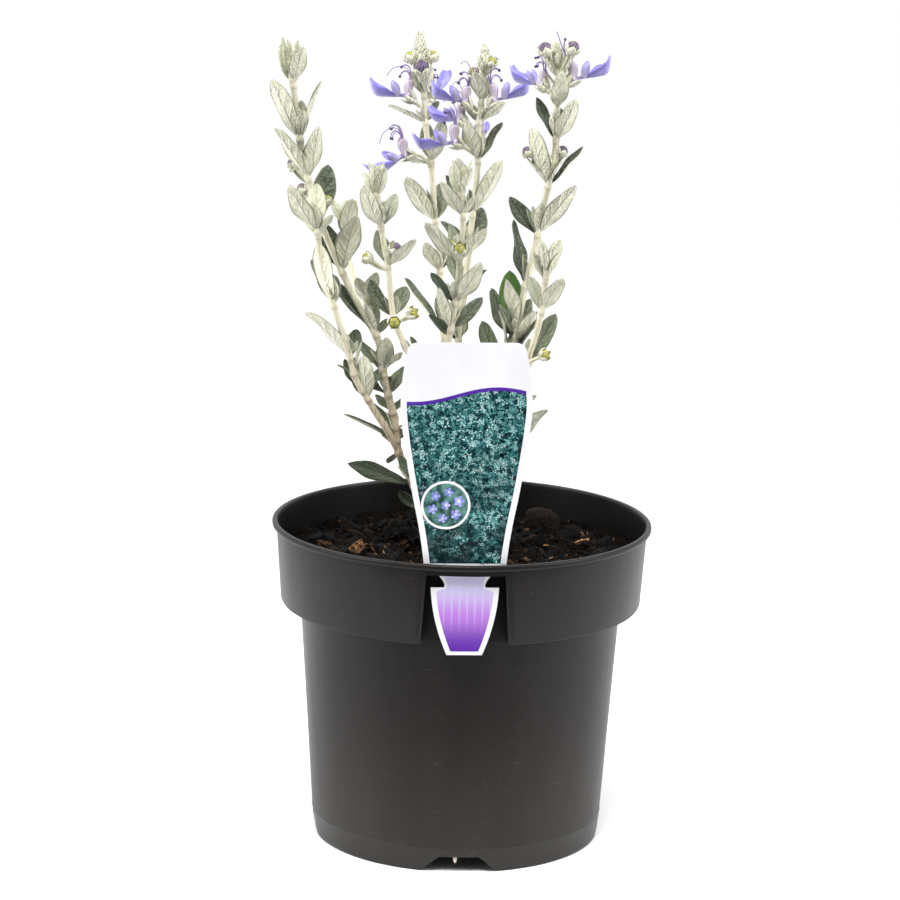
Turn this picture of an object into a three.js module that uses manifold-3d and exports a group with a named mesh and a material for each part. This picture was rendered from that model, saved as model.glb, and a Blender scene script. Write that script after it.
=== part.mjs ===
// Potted bush germander: a young plant with three flowering stems, in a round nursery pot with its label.
// Millimetres, +Z up, origin at the centre of the pot's foot. The label pocket faces -Y.
import * as THREE from 'three';
import { mergeVertices } from 'three/addons/utils/BufferGeometryUtils.js';
import Module from 'manifold-3d';

const wasm = await Module();
wasm.setup();

// Driving dimensions of the pot
const POT = {
  height: 144,
  rimRadius: 85,
  footRadius: 64.7,
  bodyTopRadius: 71.9,
  bandHeight: 36.7,
  bandBottomRadius: 80.8,
  bandTopRadius: 83,
  lipHeight: 2.7,
  wall: 1.4,
  footRing: 2.4,
  footBevel: 1.1,
  bandBevel: 1.3,
  lipBevel: 0.6,
  rimWidth: 2.4,
  floorUnder: 7.3,
  floorThickness: 1.5,
  segments: 42,
};

// Label pocket in the band, foot notches and drain holes
const POCKET = {
  topHalfWidth: 16.9,
  bottomHalfWidth: 19,
  top: 138.9,
  wall: 1.4,
  slotHalfWidth: 12.6,
  slotDepth: 2.6,
  depthRange: [-86, -60],
};
const NOTCH = { topHalfWidth: 8.7, bottomHalfWidth: 17.6, depthRange: [-86, -58], count: 4 };
const DRAIN = { radius: 4, ringRadius: 46, sides: 8, count: 6, start: 30 };

// Printed label, upright in the pocket's slot. Its outline is the right half from the tail's tip to the top:
// half width and height of each point, and of the bend before it where the edge is curved.
const LABEL = {
  plane: -78.8,
  tipHeight: 103.3,
  lean: -0.65,
  thickness: 0.6,
  outline: [[7.6, 0], [15, 29.8, 14.4, 15], [9.2, 29.8], [11.4, 35.4, 7.8, 31.3], [11.4, 38.1], [17.4, 38.1],
    [22.2, 68, 18.9, 53], [27.9, 107.5, 26.9, 93.5], [25.4, 131, 27.9, 119.5], [20.4, 136, 24.8, 136]],
};

// Soil, its bark chips and the clearance that separate pieces keep
const SOIL = {
  level: 130,
  relief: 1.3,
  segments: 28,
  ringShares: [1, 0.8, 0.6, 0.4, 0.2],
  wallGap: 0.6,
  chips: 11,
  chipSize: [5, 9],
  chipFree: [25, 9],
};
const BARK_LUMP = { x: 38, y: 42, above: 2, radius: 8, stretch: [1.1, 0.8, 0.95], turn: 0.6 };
const STEM_FOOT = 116;
const STEM_HOLE = { clearance: 0.42, sides: 8 };
const GAP = 0.3;

// Blade outlines: share of the length, share of the greatest width and share of the thickness
const LEAF_OUTLINE = [[0.3, 0.85, 1.3], [0.66, 0.94, 1]];
const BRACT_OUTLINE = [[0.45, 1, 1.2]];
const LIP_OUTLINE = [[0.3, 0.5, 1.2], [0.64, 1, 1], [0.9, 0.66, 0.9]];
const LOBE_OUTLINE = [[0.35, 0.85, 1], [0.75, 0.85, 0.9]];

// Leaves: widths are shares of the length, drawn between two limits like the fold and the arch. Longer ones
// are folded along the midrib, and short ones are simple bracts.
const LEAF = {
  thickness: 1,
  rootDepth: 1.2,
  width: [0.36, 0.42],
  fold: [0.2, 0.45],
  arch: [-0.04, 0.05],
  foldedFrom: 25,
  bractBelow: 11,
  partnerShare: 0.9,
};

// Stems have four sides, with a ring of points for about every step of their length
const STEM = { sides: 4, step: 17, spikeSpacing: 3, spikeRise: 34, spikeTurn: 40 };

// Calyx cups on their stalks, and the round buds in them
const CALYX = { wall: 0.7, stalk: 0.9, stalkEnd: 1.6, rootDepth: 1, shoulder: 0.3, sides: 5 };
const BUD = { sides: 6, rings: 4, floorGap: 0.55, cupDepth: 1.35 };

// One-lipped flower: a tube, a long cupped lip, two side lobes, two upright lobes, stamens and a style.
// Pitch is above the level for the upper lobes and filaments, and above the lip for the side lobes.
const BLOOM = {
  tube: { length: 5, lift: 28, radii: [1.3, 1.9], sides: 5 },
  lip: { length: 18, width: 8.5, pitch: 0, spread: 0, fold: 0.5, arch: 0.12, outline: LIP_OUTLINE },
  sideLobe: { length: 7, width: 3.6, pitch: 52, spread: 34, fold: 0, arch: 0, outline: LOBE_OUTLINE },
  upperLobe: { length: 9, width: 4.4, pitch: 92, spread: 26, fold: 0, arch: 0, outline: LOBE_OUTLINE },
  lobeThickness: 0.9,
  rootDepth: 0.8,
  rootOffset: 0.9,
  cupDepth: 3.6,
  cupSink: 0.6,
  stalkShare: 3,
  filamentRadii: [0.45, 0.38],
  stamen: { reach: 15, pitch: 66, bow: 4, steps: 2, spreads: [-10, 10] },
  style: { reach: 19, pitch: 58, bow: 7, steps: 3, spreads: [0] },
};

// Colours, roughness and metalness of the pieces
const FINISH = {
  pot: { color: 0x3f3d3b, roughness: 0.5, metalness: 0 },
  soil: { color: 0x2b211a, roughness: 0.95, metalness: 0 },
  label: { color: 0xf4f3f5, roughness: 0.35, metalness: 0 },
  leaf: { color: 0xb3b8a2, roughness: 0.85, metalness: 0 },
  bloom: { color: 0x8680e0, roughness: 0.6, metalness: 0 },
  lilacBud: { color: 0x7d7396, roughness: 0.6, metalness: 0 },
  greenBud: { color: 0xc2bf4e, roughness: 0.6, metalness: 0 },
};

// Each branch is a route of its own up the stem, from the soil or from a fork, with its leaves in pairs:
// [height, turn, rise, length] of one leaf, and the same three for its partner where that differs.
// Turn is round the vertical, 0 at +X and 90 at +Y, and rise is the leaf's angle from the vertical.
const LEFT_STEM = {
  name: 'left_stem',
  branches: [
    {
      route: [[-14, -3, STEM_FOOT], [-14, -3, 134], [-17, -4, 148], [-23, -6, 163], [-29, -7, 176],
        [-31, -8, 190], [-36, -9, 210], [-39, -10, 227], [-47, -11, 241], [-54, -12, 255], [-65, -14, 280],
        [-70, -15, 297], [-74, -16, 315], [-77, -18, 338], [-79, -19, 350]],
      radius: [2.4, 1.1],
      leaves: [[148, 172, 56, 15], [160, 168, 73, 32, -30, 60, 15], [181, 168, 64, 27, 50, 60, 18],
        [176, -63, 125, 14], [194, 134, 57, 13, 62, 64, 13], [202, 172, 60, 20, 60, 50, 18],
        [211, -82, 22, 20, 100, 50, 16], [214, 138, 53, 18, -50, 54, 16], [229, 180, 43, 36, 60, 60, 12],
        [257, -64, 24, 30, 117, 47, 27], [280, 78, 32, 27, 200, 30, 13], [298, -61, 23, 26, -151, 35, 29],
        [315, -148, 29, 31, 0, 20, 28], [316, -80, 32, 16, 88, 31, 18], [339, -66, 19, 18, 126, 46, 17],
        [342, -155, 21, 19, 30, 28, 18], [345, -89, 14, 16, 95, 26, 16]],
      buds: [[296, 146, 48, 12, 2.3, 'lilac'], [283, 168, 33, 13, 2, 'lilac'], [281, 8, 24, 9, 1.8, 'green']],
    },
    {
      route: [[-29, -7, 176], [-34, -10, 186], [-39, -12, 194], [-43, -14, 201], [-49, -17, 212],
        [-51, -18, 220], [-58, -22, 243], [-62, -23, 256], [-65, -25, 270], [-66, -26, 279]],
      radius: [2, 1.1],
      leaves: [[201, -110, 15, 22, 127, 51, 16], [220, 180, 43, 29, 80, 55, 18],
        [244, 133, 37, 24, -165, 14, 29], [277, -138, 38, 27, 95, 30, 23], [275, 112, 50, 14, -20, 35, 12]],
    },
    {
      route: [[-39, -10, 227], [-44, 0, 240], [-49, 6, 249], [-52, 10, 258], [-54, 13, 268], [-55, 14, 275]],
      radius: [1.6, 1],
      leaves: [[241, -112, 38, 17, 70, 45, 18], [268, -75, 25, 22, 88, 40, 21], [273, -20, 25, 14, 165, 30, 18]],
    },
  ],
};

const INNER_LEFT_STEM = {
  name: 'inner_left_stem',
  branches: [{
    route: [[-9, -11, STEM_FOOT], [-9, -11, 135], [-9, -13, 159], [-14, -18, 192], [-25, -20, 222],
      [-32, -21, 238], [-35, -24, 261], [-38, -26, 277], [-40, -27, 290], [-41, -28, 300]],
    radius: [2.1, 1],
    leaves: [[186, 70, 50, 18], [220, -45, 46, 12, 119, 48, 13], [239, 131, 51, 22, 71, 54, 20],
      [262, 108, 49, 21, -42, 46, 21], [279, -132, 32, 23, 66, 48, 20], [281, -94, 30, 12, 80, 40, 12],
      [292, -68, 30, 17, 123, 50, 15], [294, -104, 26, 16, 81, 40, 16], [298, -20, 20, 11, 170, 22, 11]],
    buds: [[260, 178, 58, 11, 2, 'green'], [262, -50, 28, 10, 2.2, 'lilac'], [237, -92, 80, 8, 2.1, 'green'],
      [237, -32, 60, 10, 2.2, 'green']],
  }],
};

const TALL_LEFT_STEM = {
  name: 'tall_left_stem',
  branches: [{
    route: [[-6, 12, STEM_FOOT], [-6, 12, 135], [-7, 15, 160], [-7, 20, 190], [-9, 25, 219], [-11, 29, 240],
      [-12, 32, 261], [-14, 34, 274], [-16, 36, 296], [-19, 38, 316], [-20, 39, 330], [-22, 40, 345],
      [-22, 41, 356]],
    radius: [2.3, 1],
    leaves: [[180, 60, 48, 24], [203, -30, 40, 20, 160, 45, 26], [226, 180, 38, 29, 60, 50, 26],
      [251, -130, 37, 18, 50, 45, 22], [273, -146, 38, 27, 81, 50, 24], [299, -58, 22, 23, 165, 80, 14],
      [300, 100, 40, 20], [317, 180, 66, 19, 62, 51, 15], [329, -64, 24, 16, 120, 45, 15]],
    buds: [[338, 170, 33, 10, 2.2, 'green'], [338, 4, 26, 10, 2.2, 'green'], [334, -99, 38, 11, 2.9, 'lilac']],
    blooms: [{ seat: [324, 180, 61, 8], facing: 180, pitch: 14, size: 1 },
      { seat: [299, -160, 62, 12], facing: -158, pitch: -22, size: 1.05 },
      { seat: [324, 50, 56, 8], facing: 58, pitch: 30, size: 0.95 }],
    spike: { from: 345, layers: 4, length: 8 },
  }],
};

const CENTRE_FLOWER_STEM = {
  name: 'centre_flower_stem',
  branches: [{
    route: [[2, 6, STEM_FOOT], [2, 6, 135], [1, 7, 161], [-1, 9, 197], [-3, 11, 223], [-1, 12, 246],
      [1, 14, 264], [2, 15, 278], [4, 16, 300], [4, 17, 318], [5, 17, 330], [6, 18, 344], [6, 18, 352]],
    radius: [2.2, 1],
    leaves: [[182, 100, 45, 24, 0, 52, 20], [205, 20, 48, 22], [223, 77, 55, 15, 170, 50, 18],
      [246, 120, 40, 20, 20, 48, 14], [264, 66, 41, 22, 175, 45, 18], [279, -22, 29, 29, 150, 42, 22],
      [303, -126, 25, 22, 48, 43, 23], [320, -8, 52, 15, 112, 59, 14], [329, -114, 29, 17, 66, 40, 14]],
    buds: [[334, -140, 30, 10, 2.2, 'lilac'], [340, -44, 32, 9, 1.8, 'green']],
    blooms: [{ seat: [324, -165, 58, 8], facing: -170, pitch: 22, size: 0.95 },
      { seat: [324, -12, 50, 8], facing: -6, pitch: 26, size: 1 },
      { seat: [305, -155, 56, 12], facing: -165, pitch: 2, size: 1.05 },
      { seat: [316, 168, 60, 9], facing: 152, pitch: 8, size: 0.9 },
      { seat: [308, 84, 60, 8], facing: 84, pitch: 8, size: 0.9 }],
    spike: { from: 343, layers: 3, length: 7 },
  }],
};

const CENTRE_LEAFY_STEM = {
  name: 'centre_leafy_stem',
  branches: [{
    route: [[-1, -3, STEM_FOOT], [-1, -3, 136], [-4, -8, 164], [-6, -12, 201], [-8, -15, 226],
      [-6, -17, 240], [-4, -20, 264], [-3, -22, 282], [-4, -23, 293], [-4, -24, 302]],
    radius: [2.1, 1],
    leaves: [[180, -40, 46, 18, 150, 50, 20], [208, -120, 40, 18, 55, 50, 16], [233, -128, 23, 22, 38, 53, 22],
      [245, 138, 48, 19, -39, 36, 24], [264, -156, 41, 25, -33, 39, 21], [267, 115, 42, 16],
      [284, -148, 37, 20, -28, 30, 12], [292, 113, 33, 17, -50, 23, 16], [294, -117, 14, 17, 75, 26, 14],
      [297, -160, 18, 13, 10, 20, 13]],
    buds: [[263, -150, 21, 9.5, 1.8, 'green'], [263, -98, 56, 9, 2.2, 'green']],
  }],
};

const RIGHT_FLOWER_STEM = {
  name: 'right_flower_stem',
  branches: [{
    route: [[10, 4, STEM_FOOT], [10, 4, 135], [12, 3, 162], [17, 1, 195], [22, -2, 228], [25, -4, 248],
      [30, -6, 272], [32, -7, 285], [34, -8, 295], [37, -10, 315], [37, -11, 329], [37, -12, 343],
      [36, -13, 360]],
    radius: [2.3, 1],
    leaves: [[184, 40, 45, 24, 215, 40, 16], [206, 130, 40, 22, -20, 45, 20], [226, 130, 39, 27, -46, 39, 19],
      [228, -167, 28, 17, 60, 42, 20], [231, -155, 13, 24, 112, 24, 30], [251, -152, 14, 30, 5, 16, 15],
      [274, 135, 50, 23, -32, 39, 30], [296, -148, 20, 28, 32, 47, 25], [316, 136, 35, 22, -54, 35, 23],
      [318, -108, 28, 13, 80, 40, 15], [330, -81, 27, 20, 92, 40, 14], [340, 140, 56, 10, 55, 60, 12]],
    buds: [[344, -158, 26, 14, 2.6, 'lilac'], [344, -26, 26, 15, 2.5, 'lilac'], [302, 0, 26, 11, 2, 'lilac'],
      [300, 176, 42, 15, 2, 'lilac']],
    blooms: [{ seat: [336, -6, 44, 9], facing: -4, pitch: 24, size: 1 },
      { seat: [334, 150, 50, 9], facing: 152, pitch: 16, size: 0.9 }],
    spike: { from: 349, layers: 3, length: 7 },
  }],
};

const RIGHT_SHORT_STEM = {
  name: 'right_short_stem',
  branches: [{
    route: [[9, -9, STEM_FOOT], [9, -9, 135], [14, -12, 165], [22, -17, 200], [27, -21, 222],
      [32, -24, 242], [33, -26, 255], [34, -27, 268]],
    radius: [2, 1],
    leaves: [[178, 20, 50, 20], [200, 120, 45, 16, -45, 60, 14], [222, 48, 48, 21, 185, 35, 10],
      [243, 115, 41, 18, -43, 39, 16], [257, 180, 22, 14, 0, 24, 16], [261, 61, 44, 18, -120, 22, 15],
      [259, -129, 12, 17, -50, 20, 16], [264, 160, 16, 12, 10, 20, 12]],
    buds: [[220, -44, 64, 11, 2, 'green']],
  }],
};

const STEMS = [LEFT_STEM, INNER_LEFT_STEM, TALL_LEFT_STEM, CENTRE_FLOWER_STEM, CENTRE_LEAFY_STEM,
  RIGHT_FLOWER_STEM, RIGHT_SHORT_STEM];

const radians = THREE.MathUtils.degToRad;
const vector = (x, y, z) => new THREE.Vector3(x, y, z);

// Repeatable random numbers from 0 to 1
function seeded(seed) {
  let state = seed;
  return () => {
    state = (state * 1664525 + 1013904223) % 4294967296;
    return state / 4294967296;
  };
}

// A closed geometry as a manifold solid
function solid(geometry) {
  const bare = geometry.index ? geometry.toNonIndexed() : geometry.clone();
  bare.deleteAttribute('normal');
  bare.deleteAttribute('uv');
  const merged = mergeVertices(bare, 1e-4);
  const index = merged.index.array;
  const faces = [];
  for (let i = 0; i < index.length; i += 3) {
    const [a, b, c] = [index[i], index[i + 1], index[i + 2]];
    if (a !== b && b !== c && c !== a) faces.push(a, b, c);
  }
  const vertProperties = new Float32Array(merged.attributes.position.array);
  return new wasm.Manifold(new wasm.Mesh({ numProp: 3, vertProperties, triVerts: new Uint32Array(faces) }));
}

// A solid skinned over rings of points; a ring of one point closes an end in a tip
function loft(rings) {
  const points = rings.flat();
  const starts = rings.map((_, i) => rings.slice(0, i).reduce((sum, ring) => sum + ring.length, 0));
  const faces = [];
  for (let i = 0; i + 1 < rings.length; i += 1) {
    const [low, high] = [rings[i], rings[i + 1]];
    const sides = Math.max(low.length, high.length);
    for (let k = 0; k < sides; k += 1) {
      const next = (k + 1) % sides;
      const a = starts[i] + (k % low.length);
      const b = starts[i] + (next % low.length);
      const c = starts[i + 1] + (next % high.length);
      const d = starts[i + 1] + (k % high.length);
      if (low.length > 1) faces.push([a, b, c]);
      if (high.length > 1) faces.push([a, c, d]);
      if (low.length > 1 && high.length === 1) faces[faces.length - 1] = [a, b, d];
    }
  }
  const cap = (start, count, flip) => {
    for (let k = 1; k + 1 < count; k += 1) {
      faces.push(flip ? [start, start + k + 1, start + k] : [start, start + k, start + k + 1]);
    }
  };
  cap(starts[0], rings[0].length, true);
  cap(starts[starts.length - 1], rings[rings.length - 1].length, false);
  return facesSolid(points, faces);
}

// A solid from points and triangles, turned right side out
function facesSolid(points, faces) {
  const volume = faces.reduce((sum, [a, b, c]) => {
    const normal = points[b].clone().cross(points[c]);
    return sum + points[a].dot(normal);
  }, 0);
  const ordered = volume < 0 ? faces.map(([a, b, c]) => [a, c, b]) : faces;
  const geometry = new THREE.BufferGeometry().setFromPoints(points);
  geometry.setIndex(ordered.flat());
  return solid(geometry);
}

const union = (pieces) => wasm.Manifold.union(pieces);

// The largest body of a solid, without loose scraps
function largest(body) {
  const parts = body.decompose();
  return parts.reduce((best, part) => (part.volume() > best.volume() ? part : best), parts[0]);
}

// Direction of a leaf or bud: turn round the vertical and rise from the vertical
function direction(turn, rise) {
  const [t, r] = [radians(turn), radians(rise)];
  return vector(Math.cos(t) * Math.sin(r), Math.sin(t) * Math.sin(r), Math.cos(r));
}

// A blade from a sunk root point to a tip, its upper face turned to what it grows from. The section has a
// keel below and, where it is folded, a groove above.
function blade({ base, along, across, length, width, thickness, outline, fold, arch, rootDepth }) {
  const up = along.clone().cross(across).normalize();
  const at = (s) => base.clone()
    .addScaledVector(along, length * s)
    .addScaledVector(up, -arch * length * 4 * s * (1 - s));
  const rings = outline.map(([s, share, depth]) => {
    const centre = at(s);
    const half = (width / 2) * share;
    const raised = up.clone().multiplyScalar(fold * half);
    const groove = centre.clone().addScaledVector(up, 0.3 * thickness * depth);
    return [
      centre.clone().addScaledVector(across, -half).add(raised),
      ...(fold ? [groove] : []),
      centre.clone().addScaledVector(across, half).add(raised),
      centre.clone().addScaledVector(up, -(fold ? 0.7 : 1) * thickness * depth),
    ];
  });
  return loft([[base.clone().addScaledVector(along, -rootDepth)], ...rings, [at(1)]]);
}

// A leaf from the middle of its stem, with a little seeded change of width, fold and arch
function leaf(base, turn, rise, length, random) {
  const draw = ([low, high]) => THREE.MathUtils.lerp(low, high, random());
  const [width, fold, arch] = [length * draw(LEAF.width), draw(LEAF.fold), draw(LEAF.arch)];
  return blade({
    base,
    along: direction(turn, rise),
    across: vector(-Math.sin(radians(turn)), Math.cos(radians(turn)), 0),
    length,
    width,
    thickness: LEAF.thickness,
    outline: length < LEAF.bractBelow ? BRACT_OUTLINE : LEAF_OUTLINE,
    fold: length > LEAF.foldedFrom ? fold : 0,
    arch,
    rootDepth: LEAF.rootDepth,
  });
}

// Points of a regular ring round a centre, square to an axis
function ringAt(centre, axis, radius, sides, start = 0) {
  const side = Math.abs(axis.z) > 0.9 ? vector(1, 0, 0) : vector(0, 0, 1);
  const u = side.clone().cross(axis).normalize();
  const v = axis.clone().cross(u).normalize();
  return Array.from({ length: sides }, (_, k) => {
    const angle = start + (2 * Math.PI * k) / sides;
    return centre.clone()
      .addScaledVector(u, radius * Math.cos(angle))
      .addScaledVector(v, radius * Math.sin(angle));
  });
}

// A round or square rod along a smooth route, tapering between two radii
function rod(curve, [startRadius, endRadius], sides, steps) {
  const rings = Array.from({ length: steps + 1 }, (_, i) => {
    const s = i / steps;
    const radius = THREE.MathUtils.lerp(startRadius, endRadius, s);
    return ringAt(curve.getPointAt(s), curve.getTangentAt(s), radius, sides, Math.PI / 4);
  });
  return loft(rings);
}

const curveOf = (points) => new THREE.CatmullRomCurve3(points.map((p) => vector(...p)), false, 'centripetal');

// The point of a route at a given height
function pointAtHeight(curve, height) {
  let [low, high] = [0, 1];
  for (let i = 0; i < 24; i += 1) {
    const middle = (low + high) / 2;
    if (curve.getPointAt(middle).z < height) low = middle;
    else high = middle;
  }
  return curve.getPointAt((low + high) / 2);
}

// A calyx cup on its stalk, from the stem's middle. Its cavity starts at the floor point and opens along
// the axis, round enough to clear a body of the given radius.
function calyx(base, floor, axis, depth, bodyRadius) {
  const inner = (bodyRadius + GAP * 1.3) / Math.cos(Math.PI / CALYX.sides);
  const ring = (height, radius) => {
    const centre = floor.clone().addScaledVector(axis, height);
    return ringAt(centre, axis, radius, CALYX.sides);
  };
  const stalk = floor.clone().sub(base).normalize();
  return loft([
    [base.clone().addScaledVector(stalk, -CALYX.rootDepth)],
    ring(-CALYX.stalkEnd, CALYX.stalk),
    ring(depth * CALYX.shoulder, inner + CALYX.wall),
    ring(depth, inner + CALYX.wall),
    ring(depth, inner),
    ring(depth * CALYX.shoulder, inner),
    [floor],
  ]);
}

function ball(centre, radius) {
  const geometry = new THREE.SphereGeometry(radius, BUD.sides, BUD.rings).rotateX(Math.PI / 2);
  return solid(geometry.translate(centre.x, centre.y, centre.z));
}

// The way a bloom's tube points, above the way its lip points
function tubeAxis({ facing, pitch }) {
  return direction(facing, 90 - pitch - BLOOM.tube.lift);
}

// A bloom with its tube's root at the seat
function bloomBody(seat, { facing, pitch, size }) {
  const { tube, lip, sideLobe, upperLobe, stamen, style } = BLOOM;
  const front = direction(facing, 90);
  const side = direction(facing + 90, 90);
  const aim = (elevation, spread) => front.clone()
    .multiplyScalar(Math.cos(radians(elevation)))
    .add(vector(0, 0, Math.sin(radians(elevation))))
    .multiplyScalar(Math.cos(radians(spread)))
    .addScaledVector(side, Math.sin(radians(spread)));
  const tubeAim = tubeAxis({ facing, pitch });
  const throat = seat.clone().addScaledVector(tubeAim, tube.length * size);
  const root = throat.clone().addScaledVector(tubeAim, -BLOOM.rootDepth);
  const lobe = (shape, elevation, hand) => {
    const along = aim(elevation, shape.spread * hand);
    return blade({
      ...shape,
      base: root.clone().addScaledVector(side, BLOOM.rootOffset * hand),
      along,
      across: vector(0, 0, 1).cross(along).normalize(),
      length: shape.length * size,
      width: shape.width * size,
      thickness: BLOOM.lobeThickness,
      rootDepth: BLOOM.rootDepth,
    });
  };
  const filament = ({ reach, pitch: elevation, bow, steps }, spread) => {
    const start = root.clone().addScaledVector(side, Math.sign(spread) * BLOOM.rootOffset);
    const end = start.clone().addScaledVector(aim(elevation, spread), reach * size);
    const middle = start.clone().lerp(end, 0.5).addScaledVector(aim(elevation + 90, spread), bow * size);
    return rod(new THREE.QuadraticBezierCurve3(start, middle, end), BLOOM.filamentRadii, 3, steps);
  };
  return union([
    rod(new THREE.LineCurve3(seat, throat), tube.radii.map((r) => r * size), tube.sides, 1),
    lobe(lip, pitch, 0),
    ...[1, -1].map((hand) => lobe(sideLobe, pitch + sideLobe.pitch, hand)),
    ...[1, -1].map((hand) => lobe(upperLobe, upperLobe.pitch, hand)),
    ...[stamen, style].flatMap((shape) => shape.spreads.map((spread) => filament(shape, spread))),
  ]);
}

// Small overlapping bracts round a flower stem's top, in turned pairs that get smaller upwards
function spikeBracts(curve, { from, layers, length }, random) {
  const bracts = [];
  for (let layer = 0; layer < layers; layer += 1) {
    const base = pointAtHeight(curve, from + layer * STEM.spikeSpacing);
    const rise = STEM.spikeRise * (1 - layer / (layers + 2));
    const turn = STEM.spikeTurn + layer * 90;
    const size = length * (1 - layer / (2 * layers));
    bracts.push(leaf(base, turn, rise, size, random), leaf(base, turn + 180, rise, size, random));
  }
  return bracts;
}

// One stem with all its branches, leaves and calyces, and the buds and blooms that sit in them
function growStem({ name, branches }, seed) {
  const random = seeded(seed);
  const green = [];
  const seated = [];
  branches.forEach(({ route, radius, leaves, buds = [], blooms = [], spike }) => {
    const curve = curveOf(route);
    green.push(rod(curve, radius, STEM.sides, Math.round(curve.getLength() / STEM.step)));
    leaves.forEach(([height, turn, rise, length, ...partner]) => {
      const base = pointAtHeight(curve, height);
      const [turn2, rise2, length2] = partner.length ? partner : [turn + 180, rise, length * LEAF.partnerShare];
      green.push(leaf(base, turn, rise, length, random), leaf(base, turn2, rise2, length2, random));
    });
    if (spike) green.push(...spikeBracts(curve, spike, random));
    buds.forEach(([height, turn, rise, reach, size, tint]) => {
      const base = pointAtHeight(curve, height);
      const along = direction(turn, rise);
      const centre = base.clone().addScaledVector(along, reach);
      const floor = centre.clone().addScaledVector(along, -size - BUD.floorGap);
      green.push(calyx(base, floor, along, size * BUD.cupDepth + BUD.floorGap, size));
      const finish = tint === 'lilac' ? FINISH.lilacBud : FINISH.greenBud;
      seated.push({ name: `${name}_bud_${seated.length + 1}`, body: ball(centre, size), finish });
    });
    blooms.forEach((bloom) => {
      const [height, turn, rise, reach] = bloom.seat;
      const base = pointAtHeight(curve, height);
      const along = direction(turn, rise);
      const seat = base.clone().addScaledVector(along, reach - BLOOM.stalkShare);
      const axis = tubeAxis(bloom);
      const floor = seat.clone().addScaledVector(axis, -BLOOM.cupSink);
      const body = bloomBody(seat, bloom);
      green.push(calyx(base, floor, axis, BLOOM.cupDepth, BLOOM.tube.radii[1]));
      seated.push({ name: `${name}_bloom_${seated.length + 1}`, body, finish: FINISH.bloom });
    });
  });
  return { name, body: largest(union(green)), seated };
}

// A turned body from a closed profile of [radius, height] that starts and ends on the axis
const turned = (profile, segments) => solid(new THREE.LatheGeometry(
  profile.map(([r, z]) => new THREE.Vector2(r, z)), segments).rotateX(Math.PI / 2));

// Levels of the band's lower edge and the lip's
const BAND_BOTTOM = POT.height - POT.bandHeight;
const LIP_BOTTOM = POT.height - POT.lipHeight;

// The pot's outer profile from the foot up to the lip
function outerProfile() {
  return [
    [POT.footRadius - POT.footBevel, 0],
    [POT.footRadius, POT.footBevel],
    [POT.bodyTopRadius, BAND_BOTTOM],
    [POT.bandBottomRadius - POT.bandBevel, BAND_BOTTOM],
    [POT.bandBottomRadius, BAND_BOTTOM + POT.bandBevel],
    [POT.bandTopRadius, LIP_BOTTOM],
    [POT.rimRadius, LIP_BOTTOM + POT.lipBevel],
    [POT.rimRadius, POT.height - POT.lipBevel],
    [POT.rimRadius - POT.lipBevel, POT.height],
  ];
}

// The inner wall from the floor's edge up to the lip, which the soil follows with a clearance
function innerProfile(inset) {
  const side = POT.wall + inset;
  return [
    [POT.footRadius - side, POT.floorUnder + POT.floorThickness + inset],
    [POT.bodyTopRadius - side, BAND_BOTTOM + inset],
    [POT.bandBottomRadius - side - POT.bandBevel, BAND_BOTTOM + POT.wall + inset],
    [POT.bandTopRadius - side, LIP_BOTTOM],
  ];
}

// A trapezoid prism along Y, in front of the pot's axis
function frontPrism(lowHalf, highHalf, bottom, top, [near, far]) {
  const shape = new THREE.Shape([
    new THREE.Vector2(-lowHalf, bottom), new THREE.Vector2(lowHalf, bottom),
    new THREE.Vector2(highHalf, top), new THREE.Vector2(-highHalf, top),
  ]);
  const geometry = new THREE.ExtrudeGeometry(shape, { depth: far - near, bevelEnabled: false });
  return solid(geometry.rotateX(Math.PI / 2).translate(0, far, 0));
}

const column = (radius, bottom, top, segments) => solid(new THREE.CylinderGeometry(
  radius, radius, top - bottom, segments).rotateX(Math.PI / 2).translate(0, 0, (bottom + top) / 2));

// Copies of a solid, turned evenly round the pot's axis
const ringOf = (body, count, start) => Array.from({ length: count }, (_, k) => (
  body.rotate([0, 0, start + (k * 360) / count])));

// The pocket's outer block, which also keeps the soil out of it
function pocketBlock(margin) {
  const grow = POCKET.wall + margin;
  return frontPrism(POCKET.bottomHalfWidth + grow, POCKET.topHalfWidth + grow, BAND_BOTTOM - margin,
    POCKET.top + grow, POCKET.depthRange);
}

function buildPot() {
  const { segments, wall, floorUnder, floorThickness, footRadius, height } = POT;
  const outer = outerProfile();
  const shell = turned([
    [0, floorUnder],
    [footRadius - wall, floorUnder],
    [footRadius - POT.footRing, 0],
    ...outer,
    [POT.rimRadius - POT.rimWidth, height],
    ...innerProfile(0).reverse(),
    [0, floorUnder + floorThickness],
  ], segments);
  const envelope = turned([[0, 0], ...outer, [0, height]], segments);
  const body = column(POT.bodyTopRadius, 0, height * 2, segments);
  const panel = column(POT.bodyTopRadius + wall, 0, height * 2, segments);
  const hollow = frontPrism(POCKET.bottomHalfWidth, POCKET.topHalfWidth, BAND_BOTTOM - wall, POCKET.top,
    POCKET.depthRange);
  const slot = frontPrism(POCKET.slotHalfWidth, POCKET.slotHalfWidth, POCKET.top - wall,
    POCKET.top + 2 * wall, [LABEL.plane - POCKET.slotDepth / 2, LABEL.plane + POCKET.slotDepth / 2]);
  const notch = frontPrism(NOTCH.bottomHalfWidth, NOTCH.topHalfWidth, -GAP, floorUnder, NOTCH.depthRange);
  const drain = column(DRAIN.radius, 0, 2 * floorUnder, DRAIN.sides).translate([DRAIN.ringRadius, 0, 0]);
  return shell
    .add(pocketBlock(0).intersect(envelope).subtract(body))
    .subtract(hollow.subtract(panel))
    .subtract(union([slot, ...ringOf(notch, NOTCH.count, 0), ...ringOf(drain, DRAIN.count, DRAIN.start)]));
}

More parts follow.
